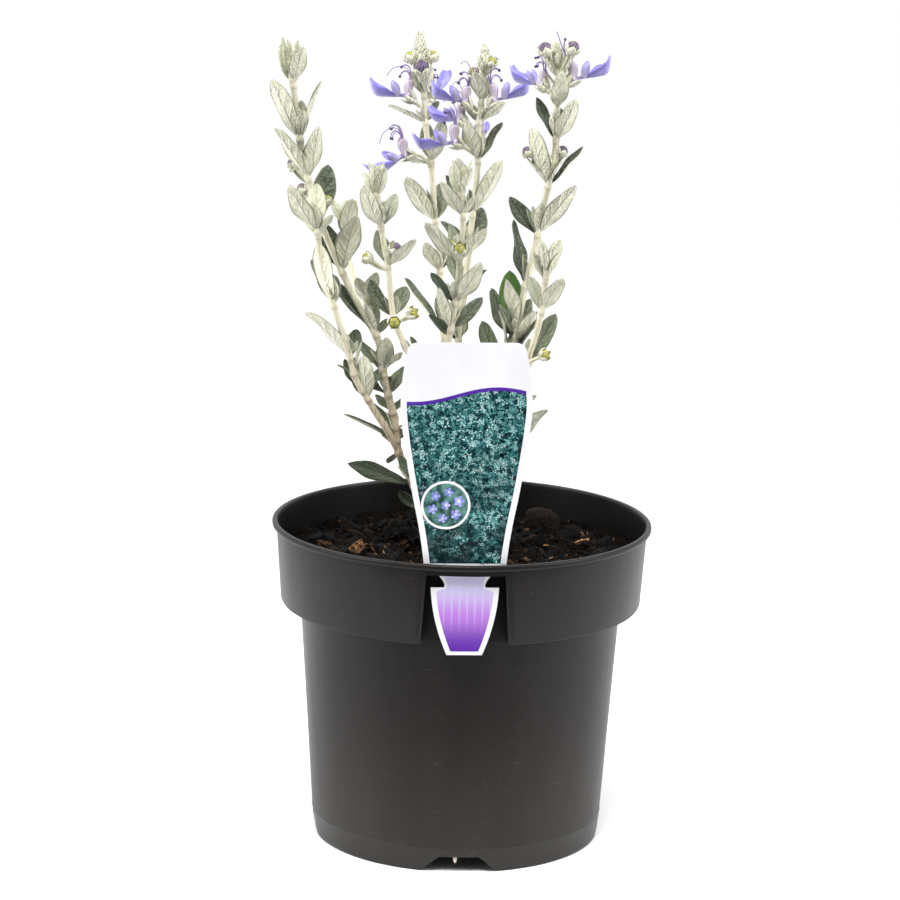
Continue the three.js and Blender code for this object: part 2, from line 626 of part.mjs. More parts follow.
// The label's outline in its own plane, up the right side and down the left
function labelShape() {
  const shape = new THREE.Shape();
  const draw = (side, [x, y], [bendX, bendY]) => {
    if (bendX === undefined) shape.lineTo(side * x, y);
    else shape.quadraticCurveTo(side * bendX, bendY, side * x, y);
  };
  const points = LABEL.outline;
  shape.moveTo(-points[0][0], points[0][1]);
  points.forEach((point) => draw(1, point, point.slice(2)));
  shape.lineTo(-points[points.length - 1][0], points[points.length - 1][1]);
  for (let i = points.length - 1; i > 0; i -= 1) {
    draw(-1, points[i - 1], points[i].slice(2));
  }
  return shape;
}

function buildLabel() {
  const depth = LABEL.thickness;
  const geometry = new THREE.ExtrudeGeometry(labelShape(), { depth, bevelEnabled: false, curveSegments: 3 });
  geometry.rotateZ(-radians(LABEL.lean)).rotateX(Math.PI / 2);
  return solid(geometry.translate(0, LABEL.plane + depth / 2, LABEL.tipHeight));
}

// A chip of bark: a block with skewed corners, tilted and turned at random
function chip(centre, size, random) {
  const [length, width, height] = [1.3, 0.55, 0.45].map((share) => size * share * (0.8 + 0.4 * random()));
  const geometry = new THREE.BoxGeometry(length, width, height);
  const position = geometry.attributes.position;
  for (let i = 0; i < position.count; i += 1) {
    const [x, y, z] = [position.getX(i), position.getY(i), position.getZ(i)];
    const skew = size * 0.16 * Math.sin(2 * Math.sign(x) + 3 * Math.sign(y) + 5 * Math.sign(z) + centre.x);
    position.setXYZ(i, x + skew, y - skew, z + skew / 2);
  }
  geometry.rotateX(random() - 0.5).rotateY(random() - 0.5).rotateZ(Math.PI * random());
  return solid(geometry.translate(centre.x, centre.y, centre.z));
}

// Height of the soil's gently uneven top
function soilLevel(x, y) {
  const waves = Math.sin(x * 0.31 + y * 0.12) + Math.sin(y * 0.27 - x * 0.17 + 2) + Math.sin((x + y) * 0.62);
  return SOIL.level + (SOIL.relief * waves) / 2;
}

function buildSoil(stemHoles) {
  const random = seeded(41);
  const wall = innerProfile(GAP);
  const [edge, top] = [wall[2], wall[3]];
  const topRadius = THREE.MathUtils.mapLinear(SOIL.level, edge[1], top[1], edge[0], top[0]) - SOIL.wallGap;
  const circle = (radius, height) => Array.from({ length: SOIL.segments }, (_, k) => {
    const angle = (2 * Math.PI * k) / SOIL.segments;
    const [x, y] = [radius * Math.cos(angle), radius * Math.sin(angle)];
    return vector(x, y, height ?? soilLevel(x, y));
  });
  const core = loft([
    [vector(0, 0, wall[0][1])],
    ...wall.slice(0, 3).map(([radius, height]) => circle(radius - GAP, height)),
    ...SOIL.ringShares.map((share) => circle(topRadius * share)),
    [vector(0, 0, soilLevel(0, 0))],
  ]);
  const chips = Array.from({ length: SOIL.chips }, () => {
    const reach = THREE.MathUtils.lerp(SOIL.chipFree[0], topRadius - SOIL.chipFree[1], Math.sqrt(random()));
    const angle = 2 * Math.PI * random();
    const [x, y] = [reach * Math.cos(angle), reach * Math.sin(angle)];
    return chip(vector(x, y, soilLevel(x, y)), THREE.MathUtils.lerp(...SOIL.chipSize, random()), random);
  });
  const lump = solid(new THREE.IcosahedronGeometry(BARK_LUMP.radius, 1).scale(...BARK_LUMP.stretch)
    .rotateZ(BARK_LUMP.turn).translate(BARK_LUMP.x, BARK_LUMP.y, SOIL.level + BARK_LUMP.above));
  return largest(union([core, ...chips, lump]).subtract(union([pocketBlock(GAP), ...stemHoles])));
}

// The plain hole that a stem stands in
function stemHole({ branches }) {
  const [{ route, radius }] = branches;
  const [x, y] = route[0];
  return column(radius[0] + STEM_HOLE.clearance, STEM_FOOT - GAP, POT.height, STEM_HOLE.sides)
    .translate([x, y, 0]);
}

function mesh(name, body, finish) {
  const { vertProperties, triVerts } = body.getMesh();
  const geometry = new THREE.BufferGeometry();
  geometry.setAttribute('position', new THREE.BufferAttribute(vertProperties, 3));
  geometry.setIndex(new THREE.BufferAttribute(triVerts, 1));
  const piece = new THREE.Mesh(geometry, new THREE.MeshStandardMaterial(finish));
  piece.name = name;
  return piece;
}

const plant = new THREE.Group();
plant.add(mesh('pot', buildPot(), FINISH.pot));
plant.add(mesh('soil', buildSoil(STEMS.map(stemHole)), FINISH.soil));
plant.add(mesh('label', buildLabel(), FINISH.label));
STEMS.forEach((stem, i) => {
  const { name, body, seated } = growStem(stem, 20 + i);
  plant.add(mesh(name, body, FINISH.leaf));
  seated.forEach((piece) => plant.add(mesh(piece.name, piece.body, piece.finish)));
});

export default plant;
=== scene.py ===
"""Looks of the potted bush germander: felted stems and leaves, blooms, buds, soil, pot and label.

Lengths in the tables are millimetres, in the frame's own axes, and are scaled once, when a mesh is made.
"""

import logging
import math
from dataclasses import dataclass, field
from enum import Enum
from typing import Callable, Sequence

import bmesh
import bpy
import numpy as np
from bpy.types import Material, Node, NodeSocket, Object
from mathutils import Matrix, Vector
from numpy.random import Generator


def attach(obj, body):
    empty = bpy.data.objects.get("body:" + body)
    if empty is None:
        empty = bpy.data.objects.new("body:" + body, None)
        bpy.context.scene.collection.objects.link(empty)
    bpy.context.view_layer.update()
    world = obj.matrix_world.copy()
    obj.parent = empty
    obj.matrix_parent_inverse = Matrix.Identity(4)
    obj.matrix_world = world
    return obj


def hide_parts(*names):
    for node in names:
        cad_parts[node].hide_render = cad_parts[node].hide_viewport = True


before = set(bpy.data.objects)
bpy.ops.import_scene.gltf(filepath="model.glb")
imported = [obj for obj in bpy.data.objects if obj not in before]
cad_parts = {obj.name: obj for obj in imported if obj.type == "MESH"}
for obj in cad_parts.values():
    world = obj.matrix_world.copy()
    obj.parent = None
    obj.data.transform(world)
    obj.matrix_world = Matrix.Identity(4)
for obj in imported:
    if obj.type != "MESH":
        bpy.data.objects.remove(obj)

MM = 0.001
BODY = "root"
LOG = logging.getLogger("bush_germander")

# The places of the finishes in a stem's list, and in a bloom's.
LEAF, STEM = 0, 1
PETAL, THREAD = 0, 1

Colour = tuple[float, float, float]
LeafRow = tuple[float, ...]
Point = tuple[float, float, float]
Pair = tuple[float, float]
Curve = tuple[Pair, ...]
Array = np.ndarray


class Slot(Enum):
    """The record's material slots."""

    POT = "pot_plastic"
    SOIL = "soil_mix"
    LABEL = "label_plastic"
    FOLIAGE = "foliage"
    PETALS = "petals"
    LILAC_BUD = "bud_lilac"
    GREEN_BUD = "bud_green"


class Tint(Enum):
    """What a closed bud looks like from outside."""

    LILAC = "lilac"
    GREEN = "green"


class Stamens(Enum):
    """How a bloom's stamens and style stand: arched, arched with a long hooked style, or straight up."""

    ARCHED = "arched"
    HOOKED = "hooked"
    UPRIGHT = "upright"


@dataclass(frozen=True)
class PotSize:
    """Driving dimensions of the nursery pot."""

    height: float = 144.0
    rim_radius: float = 85.0
    foot_radius: float = 64.7
    body_top_radius: float = 71.9
    band_height: float = 36.7
    band_bottom_radius: float = 80.8
    band_top_radius: float = 83.0
    lip_height: float = 2.7
    wall: float = 1.4
    floor_under: float = 7.3
    floor_thickness: float = 1.5
    segments: int = 168

    @property
    def band_bottom(self) -> float:
        """Height of the band's lower edge."""
        return self.height - self.band_height

    @property
    def lip_bottom(self) -> float:
        """Height of the lip's lower edge."""
        return self.height - self.lip_height


@dataclass(frozen=True)
class PocketSize:
    """The label pocket in the band and the slot through its ledge."""

    top_half: float = 16.9
    bottom_half: float = 19.0
    top: float = 138.9
    slot_half: float = 12.6
    slot_depth: float = 2.6


@dataclass(frozen=True)
class LabelSize:
    """The label's place and its right half outline, as in the source: point, then bend before it."""

    plane: float = -78.8
    tip_height: float = 103.3
    lean: float = -0.65
    thickness: float = 0.6
    outline: tuple[tuple[float, ...], ...] = (
        (7.6, 0), (14.6, 29.8, 14.0, 15), (9.0, 29.8), (11.4, 35.4, 7.8, 31.3), (11.4, 38.1), (17.4, 38.1),
        (22.2, 68, 18.9, 53), (27.9, 107.5, 26.9, 93.5), (25.4, 131, 27.9, 119.5), (20.4, 136, 24.8, 136),
    )


@dataclass(frozen=True)
class BudRow:
    """A closed bud: where its stalk leaves the stem, how it points, its reach, radius and tint."""

    height: float
    turn: float
    rise: float
    reach: float
    radius: float
    tint: Tint


@dataclass(frozen=True)
class BloomRow:
    """An open bloom: its seat (stem height, turn, rise, reach), the way it faces, its pitch and size."""

    seat: tuple[float, float, float, float]
    facing: float
    pitch: float
    size: float
    stamens: Stamens = Stamens.ARCHED


@dataclass(frozen=True)
class Branch:
    """A stretch of stem with its leaf pairs and their rolls, its buds, blooms, top bracts and cut stubs.

    A pair in fresh names a leaf by its row and its place in the pair: it is bright green and unfelted.
    """

    route: tuple[Point, ...]
    radius: Pair
    leaves: tuple[LeafRow, ...]
    rolls: tuple[Pair, ...]
    buds: tuple[BudRow, ...] = ()
    blooms: tuple[BloomRow, ...] = ()
    spike: tuple[float, int, float, float] | None = None
    fresh: tuple[tuple[int, int], ...] = ()
    stubs: tuple[tuple[float, float, float, float], ...] = ()


FOOT = 116.0
LILAC, GREEN = Tint.LILAC, Tint.GREEN

STEMS: dict[str, tuple[Branch, ...]] = {
    "left_stem": (Branch(
        route=((-14, -3, FOOT), (-14, -3, 134), (-17, -4, 148), (-23, -6, 163), (-29, -7, 176),
            (-31, -8, 190), (-36, -9, 210), (-39, -10, 227), (-47, -11, 241), (-54, -12, 255),
            (-65, -14, 280), (-70, -15, 297), (-74, -16, 315), (-77, -18, 338), (-79, -19, 350)),
        radius=(2.4, 1.1),
        leaves=((148, 172, 56, 15), (160, 168, 73, 32, -30, 60, 15), (181, 168, 64, 27, 50, 60, 18),
            (176, -63, 125, 14), (194, 134, 57, 13, 62, 64, 13), (202, 172, 60, 20, 60, 50, 18),
            (211, -82, 22, 20, 100, 50, 16), (214, 138, 53, 18, -50, 54, 16), (229, 180, 43, 36, 60, 60, 12),
            (257, -64, 24, 30, 117, 47, 27), (280, 78, 32, 27, 200, 30, 13), (298, -61, 23, 26, -151, 35, 29),
            (315, -148, 29, 31, 0, 20, 28), (316, -80, 32, 16, 88, 31, 18), (339, -56, 25, 19, 142, 26, 19),
            (342, 62, 20, 17, -150, 15, 19), (345, -105, 6, 13, 125, 12, 14),
            (187, 150, 52, 17, -15, 60, 14)),
        rolls=((25, -30), (20, 0), (0, 0), (0, 0), (0, 0), (10, 0), (0, 0), (5, 0), (20, 0), (0, 0), (0, -25),
            (0, -15), (-25, -10), (0, 0), (10, 0), (0, 60), (0, 0), (0, 0)),
        buds=(BudRow(296, 146, 48, 12, 2.3, LILAC), BudRow(283, 168, 33, 13, 2, LILAC),
            BudRow(281, 8, 24, 9, 1.8, GREEN)),
        stubs=((179, 174, 50, 8.5), (163, 20, 60, 4)),
    ), Branch(
        route=((-29, -7, 176), (-34, -10, 186), (-39, -12, 194), (-43, -14, 201), (-49, -17, 212),
            (-51, -18, 220), (-58, -22, 243), (-62, -23, 256), (-65, -25, 270), (-66, -26, 279)),
        radius=(2, 1.1),
        leaves=((201, -110, 15, 22, 127, 51, 16), (213, 20, 14, 15, 190, 60, 9),
            (220, 180, 43, 29, 80, 55, 18), (244, 133, 37, 24, -165, 14, 29), (277, -138, 38, 27, 95, 30, 23),
            (275, 112, 50, 14, -20, 35, 12), (205, 140, 40, 17, 40, 50, 15)),
        rolls=((0, 0), (30, 0), (-35, 0), (0, -30), (-20, 0), (0, 20), (0, 0)),
    ), Branch(
        route=((-39, -10, 227), (-44, 0, 240), (-49, 6, 249), (-52, 10, 258), (-54, 13, 268), (-55, 14, 275)),
        radius=(1.6, 1),
        leaves=((241, -112, 38, 17, 70, 45, 18), (268, -75, 25, 22, 88, 40, 21),
            (273, -20, 25, 14, 165, 30, 18)),
        rolls=((0, 0), (0, 0), (15, 15)),
    )),
    "inner_left_stem": (Branch(
        route=((-9, -11, FOOT), (-9, -11, 135), (-9, -13, 159), (-14, -18, 192), (-25, -20, 222),
            (-32, -21, 238), (-35, -24, 261), (-38, -26, 277), (-40, -27, 290), (-41, -28, 300)),
        radius=(2.1, 1),
        leaves=((186, 70, 50, 18), (203, 130, 50, 18, 40, 55, 17), (220, -45, 46, 12, 119, 48, 13),
            (239, 131, 51, 22, 71, 54, 20), (262, 108, 49, 21, -42, 46, 21), (279, -132, 32, 23, 66, 48, 20),
            (281, -94, 30, 12, 80, 40, 12), (292, -68, 30, 17, 123, 50, 15), (294, -104, 26, 16, 81, 40, 16),
            (298, -20, 20, 11, 170, 22, 11)),
        rolls=((0, 0), (0, 0), (0, 0), (0, 0), (0, 15), (-10, 0), (0, 0), (0, 0), (0, 0), (15, 10)),
        buds=(BudRow(260, 178, 58, 11, 2, GREEN), BudRow(262, -50, 28, 10, 2.2, LILAC),
            BudRow(237, -92, 80, 8, 2.1, GREEN), BudRow(237, -32, 60, 10, 2.2, GREEN)),
    ),),
    "tall_left_stem": (Branch(
        route=((-6, 12, FOOT), (-6, 12, 135), (-7, 15, 160), (-7, 20, 190), (-9, 25, 219), (-11, 29, 240),
            (-12, 32, 261), (-14, 34, 274), (-16, 36, 296), (-19, 38, 316), (-20, 39, 330), (-22, 40, 345),
            (-22, 41, 356)),
        radius=(2.3, 1),
        leaves=((180, 60, 48, 24), (203, -30, 40, 20, 160, 45, 26), (226, 180, 38, 29, 60, 50, 26),
            (251, -130, 37, 18, 50, 45, 22), (273, -146, 38, 27, 81, 50, 24), (299, -58, 22, 23, 165, 80, 14),
            (300, 100, 40, 20), (317, 180, 66, 19, 62, 51, 15), (329, -64, 24, 16, 120, 45, 15)),
        rolls=((0, -15), (20, 0), (5, 0), (-10, 0), (-20, 0), (0, -40), (0, 0), (-25, 0), (0, 0)),
        buds=(BudRow(338, 170, 33, 10, 2.2, GREEN), BudRow(338, 4, 26, 10, 2.2, GREEN),
            BudRow(334, -99, 38, 11, 2.9, LILAC)),
        blooms=(BloomRow((324, 180, 61, 8), 180, 14, 1, Stamens.HOOKED),
            BloomRow((299, -160, 62, 12), -158, -22, 1.05, Stamens.HOOKED),
            BloomRow((324, 50, 56, 8), 58, 30, 0.82)),
        spike=(343, 8, 8, 0.46),
    ),),
    "centre_flower_stem": (Branch(
        route=((2, 6, FOOT), (2, 6, 135), (1, 7, 161), (-1, 9, 197), (-3, 11, 223), (-1, 12, 246),
            (1, 14, 264), (2, 15, 278), (4, 16, 300), (4, 17, 318), (5, 17, 330), (6, 18, 344), (6, 18, 352)),
        radius=(2.2, 1),
        leaves=((182, 100, 45, 24, 0, 52, 20), (205, 20, 48, 22), (223, 77, 55, 15, 170, 50, 18),
            (246, 120, 40, 20, 20, 48, 14), (264, 66, 41, 22, 175, 45, 18), (279, -22, 29, 29, 150, 42, 22),
            (303, -126, 25, 22, 48, 43, 23), (320, -8, 52, 15, 112, 59, 14), (329, -114, 29, 17, 66, 40, 14)),
        rolls=((0, -30), (0, 0), (0, 20), (0, -15), (0, 25), (25, 0), (0, 20), (30, 0), (0, 0)),
        buds=(BudRow(334, -140, 30, 10, 2.2, LILAC), BudRow(340, -44, 32, 9, 1.8, GREEN)),
        blooms=(BloomRow((324, -165, 58, 8), -170, 22, 0.95), BloomRow((324, -12, 50, 8), -6, 26, 1),
            BloomRow((305, -155, 56, 12), -165, 2, 1.05), BloomRow((316, 168, 60, 9), 152, 8, 0.9),
            BloomRow((308, 84, 60, 8), 84, 8, 0.9)),
        spike=(342, 7, 7, 0.55),
    ),),
    "centre_leafy_stem": (Branch(
        route=((-1, -3, FOOT), (-1, -3, 136), (-4, -8, 164), (-6, -12, 201), (-8, -15, 226), (-6, -17, 240),
            (-4, -20, 264), (-3, -22, 282), (-4, -23, 293), (-4, -24, 302)),
        radius=(2.1, 1),
        leaves=((180, -40, 46, 18, 150, 50, 20), (208, -120, 40, 18, 55, 50, 16),
            (233, -128, 23, 22, 38, 53, 22), (245, 138, 48, 19, -39, 36, 24),
            (264, -156, 41, 25, -33, 39, 21), (267, 115, 42, 16), (284, -148, 37, 20, -28, 30, 12),
            (292, 113, 33, 17, -50, 23, 16), (294, -117, 14, 17, 75, 26, 14),
            (297, -160, 18, 13, 10, 20, 13)),
        rolls=((15, 0), (0, 0), (0, -15), (10, 20), (-35, 15), (0, 0), (-25, 20), (0, 0), (0, 0), (-10, -10)),
        buds=(BudRow(263, -150, 21, 9.5, 1.8, GREEN), BudRow(264, -92, 44, 9, 2.2, GREEN)),
    ),),
    "right_flower_stem": (Branch(
        route=((10, 4, FOOT), (10, 4, 135), (12, 3, 162), (17, 1, 195), (22, -2, 228), (25, -4, 248),
            (30, -6, 272), (32, -7, 285), (34, -8, 295), (37, -10, 315), (37, -11, 329), (37, -12, 343),
            (36, -13, 360)),
        radius=(2.3, 1),
        leaves=((184, 40, 45, 24, 215, 40, 16), (206, 135, 30, 31, -20, 45, 20),
            (214, -150, 14, 27, -20, 27, 29), (226, 130, 39, 27, -46, 39, 19),
            (228, -167, 28, 17, 60, 42, 20), (231, -155, 13, 24, 112, 24, 27), (251, 132, 15, 30, 5, 16, 15),
            (274, 135, 50, 23, -32, 39, 30), (296, -148, 20, 28, 32, 47, 25), (316, 136, 35, 22, -54, 35, 23),
            (318, -108, 28, 13, 80, 40, 15), (330, -81, 27, 20, 92, 40, 14), (340, 140, 56, 10, 55, 60, 12)),
        rolls=((0, -15), (0, 25), (20, -40), (0, 15), (45, 0), (-20, 0), (-20, 35), (15, 30), (-20, 10),
            (-10, 15), (0, 0), (0, 0), (-20, 55)),
        buds=(BudRow(344, -158, 26, 14, 2.6, LILAC), BudRow(344, -26, 26, 15, 2.5, LILAC),
            BudRow(302, 0, 26, 11, 2, LILAC), BudRow(300, 176, 42, 15, 2, LILAC)),
        blooms=(BloomRow((336, -6, 44, 9), -4, 24, 1, Stamens.UPRIGHT),
            BloomRow((334, 150, 50, 9), 152, 16, 0.9)),
        spike=(347, 5, 9, 0.32),
        fresh=((5, 1),),
    ),),
    "right_short_stem": (Branch(
        route=((9, -9, FOOT), (9, -9, 135), (14, -12, 165), (22, -17, 200), (27, -21, 222), (32, -24, 242),
            (33, -26, 255), (34, -27, 268)),
        radius=(2, 1),
        leaves=((178, 8, 46, 28), (200, 120, 45, 16, -45, 60, 14), (219, 40, 38, 27, 185, 35, 12),
            (243, 115, 41, 19, -43, 36, 20), (257, 180, 22, 14, 0, 24, 16), (261, 61, 44, 18, -120, 22, 15),
            (259, -129, 12, 17, -50, 20, 16), (264, 160, 16, 12, 10, 20, 12)),
        rolls=((60, 20), (0, 20), (-20, 20), (0, 25), (35, 30), (0, 0), (0, 0), (-45, 40)),
        buds=(BudRow(220, -44, 64, 11, 2, GREEN),),
    ),),
}


def srgb(red: int, green: int, blue: int) -> Colour:
    """Turns a screen colour into linear light.

    Args:
        red, green, blue: The colour, from 0 to 255.

    Returns:
        The linear colour.
    """
    shares = [channel / 255 for channel in (red, green, blue)]
    return tuple(s / 12.92 if s <= 0.04045 else ((s + 0.055) / 1.055) ** 2.4 for s in shares)


def unit(vector: Array) -> Array:
    """The vector at length one."""
    return vector / np.linalg.norm(vector)


def pointing(turn: float, rise: float) -> Array:
    """A direction from a turn round the vertical and a rise from the vertical.

    Args:
        turn: Degrees round the vertical, 0 at +X and 90 at +Y.
        rise: Degrees down from the vertical.

    Returns:
        A vector of length one.
    """
    t, r = math.radians(turn), math.radians(rise)
    return np.array([math.cos(t) * math.sin(r), math.sin(t) * math.sin(r), math.cos(r)])


def spline(points: Sequence[Pair], at: Array) -> Array:
    """Reads a smooth curve through given points.

    Args:
        points: Pairs of place and value, places rising.
        at: The places to read.

    Returns:
        The values there.
    """
    x = np.array([p[0] for p in points], float)
    y = np.array([p[1] for p in points], float)
    slope = np.gradient(y, x)
    k = np.clip(np.searchsorted(x, at, side="right") - 1, 0, len(x) - 2)
    h = x[k + 1] - x[k]
    t = (at - x[k]) / h
    return ((1 + 2 * t) * (1 - t) ** 2 * y[k] + t * (1 - t) ** 2 * h * slope[k]
            + t * t * (3 - 2 * t) * y[k + 1] + t * t * (t - 1) * h * slope[k + 1])


def circle(count: int) -> Array:
    """Even angles round a circle, in radians."""
    return np.linspace(0, 2 * math.pi, count, endpoint=False)


def band(low: int, high: int, count: int) -> list[tuple[int, ...]]:
    """The faces between two closed rings of points, each given by the number of its first point."""
    return [(low + k, low + (k + 1) % count, high + (k + 1) % count, high + k) for k in range(count)]


class Path:
    """A smooth route through points, read by share of its length or by height."""

    SAMPLES = 400

    def __init__(self, points: Sequence[Sequence[float]]) -> None:
        """Runs a centripetal Catmull-Rom curve through the points.

        Args:
            points: What the route passes.
        """
        p = np.array(points, float)
        p = np.vstack([2 * p[0] - p[1], p, 2 * p[-1] - p[-2]])
        chunks = []
        per_span = max(4, self.SAMPLES // (len(p) - 3))
        for i in range(1, len(p) - 2):
            chunks.append(self._span(p[i - 1], p[i], p[i + 1], p[i + 2], np.linspace(0, 1, per_span, False)))
        self.points = np.vstack([*chunks, p[-2]])
        steps = np.linalg.norm(np.diff(self.points, axis=0), axis=1)
        self.run = np.concatenate([[0], np.cumsum(steps)])
        self.length = float(self.run[-1])

    @staticmethod
    def _span(a: Array, b: Array, c: Array, d: Array, share: Array) -> Array:
        """One span of the curve, from b to c.

        Args:
            a, b, c, d: The points before, at and after its two ends.
            share: Where to read it, from 0 to 1.

        Returns:
            The points there.
        """
        knots = np.cumsum([0] + [math.sqrt(np.linalg.norm(q - p)) for p, q in ((a, b), (b, c), (c, d))])
        t = (knots[1] + share * (knots[2] - knots[1]))[:, None]

        def blend(p: Array, q: Array, low: float, high: float) -> Array:
            """A weighted step between two points."""
            return (high - t) / (high - low) * p + (t - low) / (high - low) * q

        ab, bc, cd = blend(a, b, *knots[:2]), blend(b, c, *knots[1:3]), blend(c, d, *knots[2:])
        return blend(blend(ab, bc, knots[0], knots[2]), blend(bc, cd, knots[1], knots[3]), knots[1], knots[2])

    def at(self, share: Array) -> Array:
        """Points at shares of the length."""
        run = np.atleast_1d(share) * self.length
        return np.stack([np.interp(run, self.run, self.points[:, k]) for k in range(3)], axis=1)

    def at_height(self, height: float) -> Array:
        """The point at a height."""
        rows = self.points[np.argsort(self.points[:, 2])]
        return np.array([np.interp(height, rows[:, 2], rows[:, k]) for k in range(3)])

    def share_at_height(self, height: float) -> float:
        """The share of the length at a height."""
        order = np.argsort(self.points[:, 2])
        return float(np.interp(height, self.points[order, 2], self.run[order]) / self.length)


class MeshSink:
    """Gathers lofted shapes, with what their finishes read, into one mesh object."""

    def __init__(self) -> None:
        """Starts empty."""
        self.points: list[Array] = []
        self.places: list[Array] = []
        self.tones: list[Array] = []
        self.faces: list[tuple[int, ...]] = []
        self.finishes: list[int] = []
        self.count = 0

    def loft(self, rings: Array, places: Array, tone: Colour, finish: int,
             start: Array | None = None, end: Array | None = None) -> None:
        """Adds a closed skin over rings of points.

        Args:
            rings: Points, as rings by points by three.
            places: What the finish reads at each of them, of the same form.
            tone: What the finish reads for the whole shape.
            finish: The index of its material.
            start: The point that closes the first ring, or nothing for its middle.
            end: The point that closes the last ring, or nothing for its middle.
        """
        n, k, _ = rings.shape
        first = rings[0].mean(0) if start is None else start
        last = rings[-1].mean(0) if end is None else end
        self.points.append(np.vstack([rings.reshape(-1, 3), first, last]))
        self.places.append(np.vstack([places.reshape(-1, 3), places[0].mean(0), places[-1].mean(0)]))
        self.tones.append(np.tile(np.array(tone, float), (n * k + 2, 1)))
        base = self.count
        for i in range(n - 1):
            self.faces += band(base + i * k, base + (i + 1) * k, k)
        head, tail, top = base + n * k, base + n * k + 1, base + (n - 1) * k
        self.faces += [(head, base + (j + 1) % k, base + j) for j in range(k)]
        self.faces += [(tail, top + j, top + (j + 1) % k) for j in range(k)]
        self.finishes += [finish] * ((n - 1) * k + 2 * k)
        self.count += n * k + 2

    def build(self, name: str, materials: Sequence[Material]) -> Object:
        """Makes the mesh object.

        Args:
            name: The object's name.
            materials: Its materials, in the order that the shapes name them.

        Returns:
            The object, in the scene, smooth, with its faces pointing out.
        """
        mesh = bpy.data.meshes.new(name)
        mesh.from_pydata((np.vstack(self.points) * MM).tolist(), [], self.faces)
        for material in materials:
            mesh.materials.append(material)
        mesh.polygons.foreach_set("material_index", self.finishes)
        for title, rows in (("place", self.places), ("tone", self.tones)):
            attribute = mesh.attributes.new(title, "FLOAT_VECTOR", "POINT")
            attribute.data.foreach_set("vector", np.vstack(rows).astype(np.float32).ravel())
        mesh.shade_smooth()
        piece = put(name, mesh)
        turn_outwards(piece)
        return piece


def put(name: str, data: object) -> Object:
    """A new object in the scene.

    Args:
        name: Its name.
        data: Its mesh, light or camera.

    Returns:
        The object.
    """
    piece = bpy.data.objects.new(name, data)
    bpy.context.scene.collection.objects.link(piece)
    return piece


def settle(piece: Object) -> None:
    """Makes a piece's modifiers part of its mesh.

    Args:
        piece: The piece.
    """
    graph = bpy.context.evaluated_depsgraph_get()
    mesh = bpy.data.meshes.new_from_object(piece.evaluated_get(graph))
    piece.modifiers.clear()
    piece.data = mesh


def turn_outwards(piece: Object) -> None:
    """Points all faces of a piece of closed bodies outwards.

    Args:
        piece: The piece.
    """
    work = bmesh.new()
    work.from_mesh(piece.data)
    bmesh.ops.recalc_face_normals(work, faces=work.faces)
    work.to_mesh(piece.data)
    work.free()


def plain_object(name: str, points: Array, faces: Sequence[Sequence[int]]) -> Object:
    """A mesh object from points in millimetres and faces.

    Args:
        name: The object's name.
        points: Its points.
        faces: Rows of point numbers.

    Returns:
        The object, in the scene.
    """
    mesh = bpy.data.meshes.new(name)
    mesh.from_pydata((np.asarray(points, float) * MM).tolist(), [], [tuple(f) for f in faces])
    return put(name, mesh)


def keep(piece: Object, slot: Slot, node: str | None = None) -> None:
    """Lets a finished piece ride on the frame, in place of its node where it has one, and reports it.

    Args:
        piece: The piece.
        slot: The material slot of its finish; not used.
        node: The node that it stands for.
    """
    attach(piece, BODY)
    if node:
        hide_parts(node)
    LOG.info("%s: %d faces", piece.name, len(piece.data.polygons))


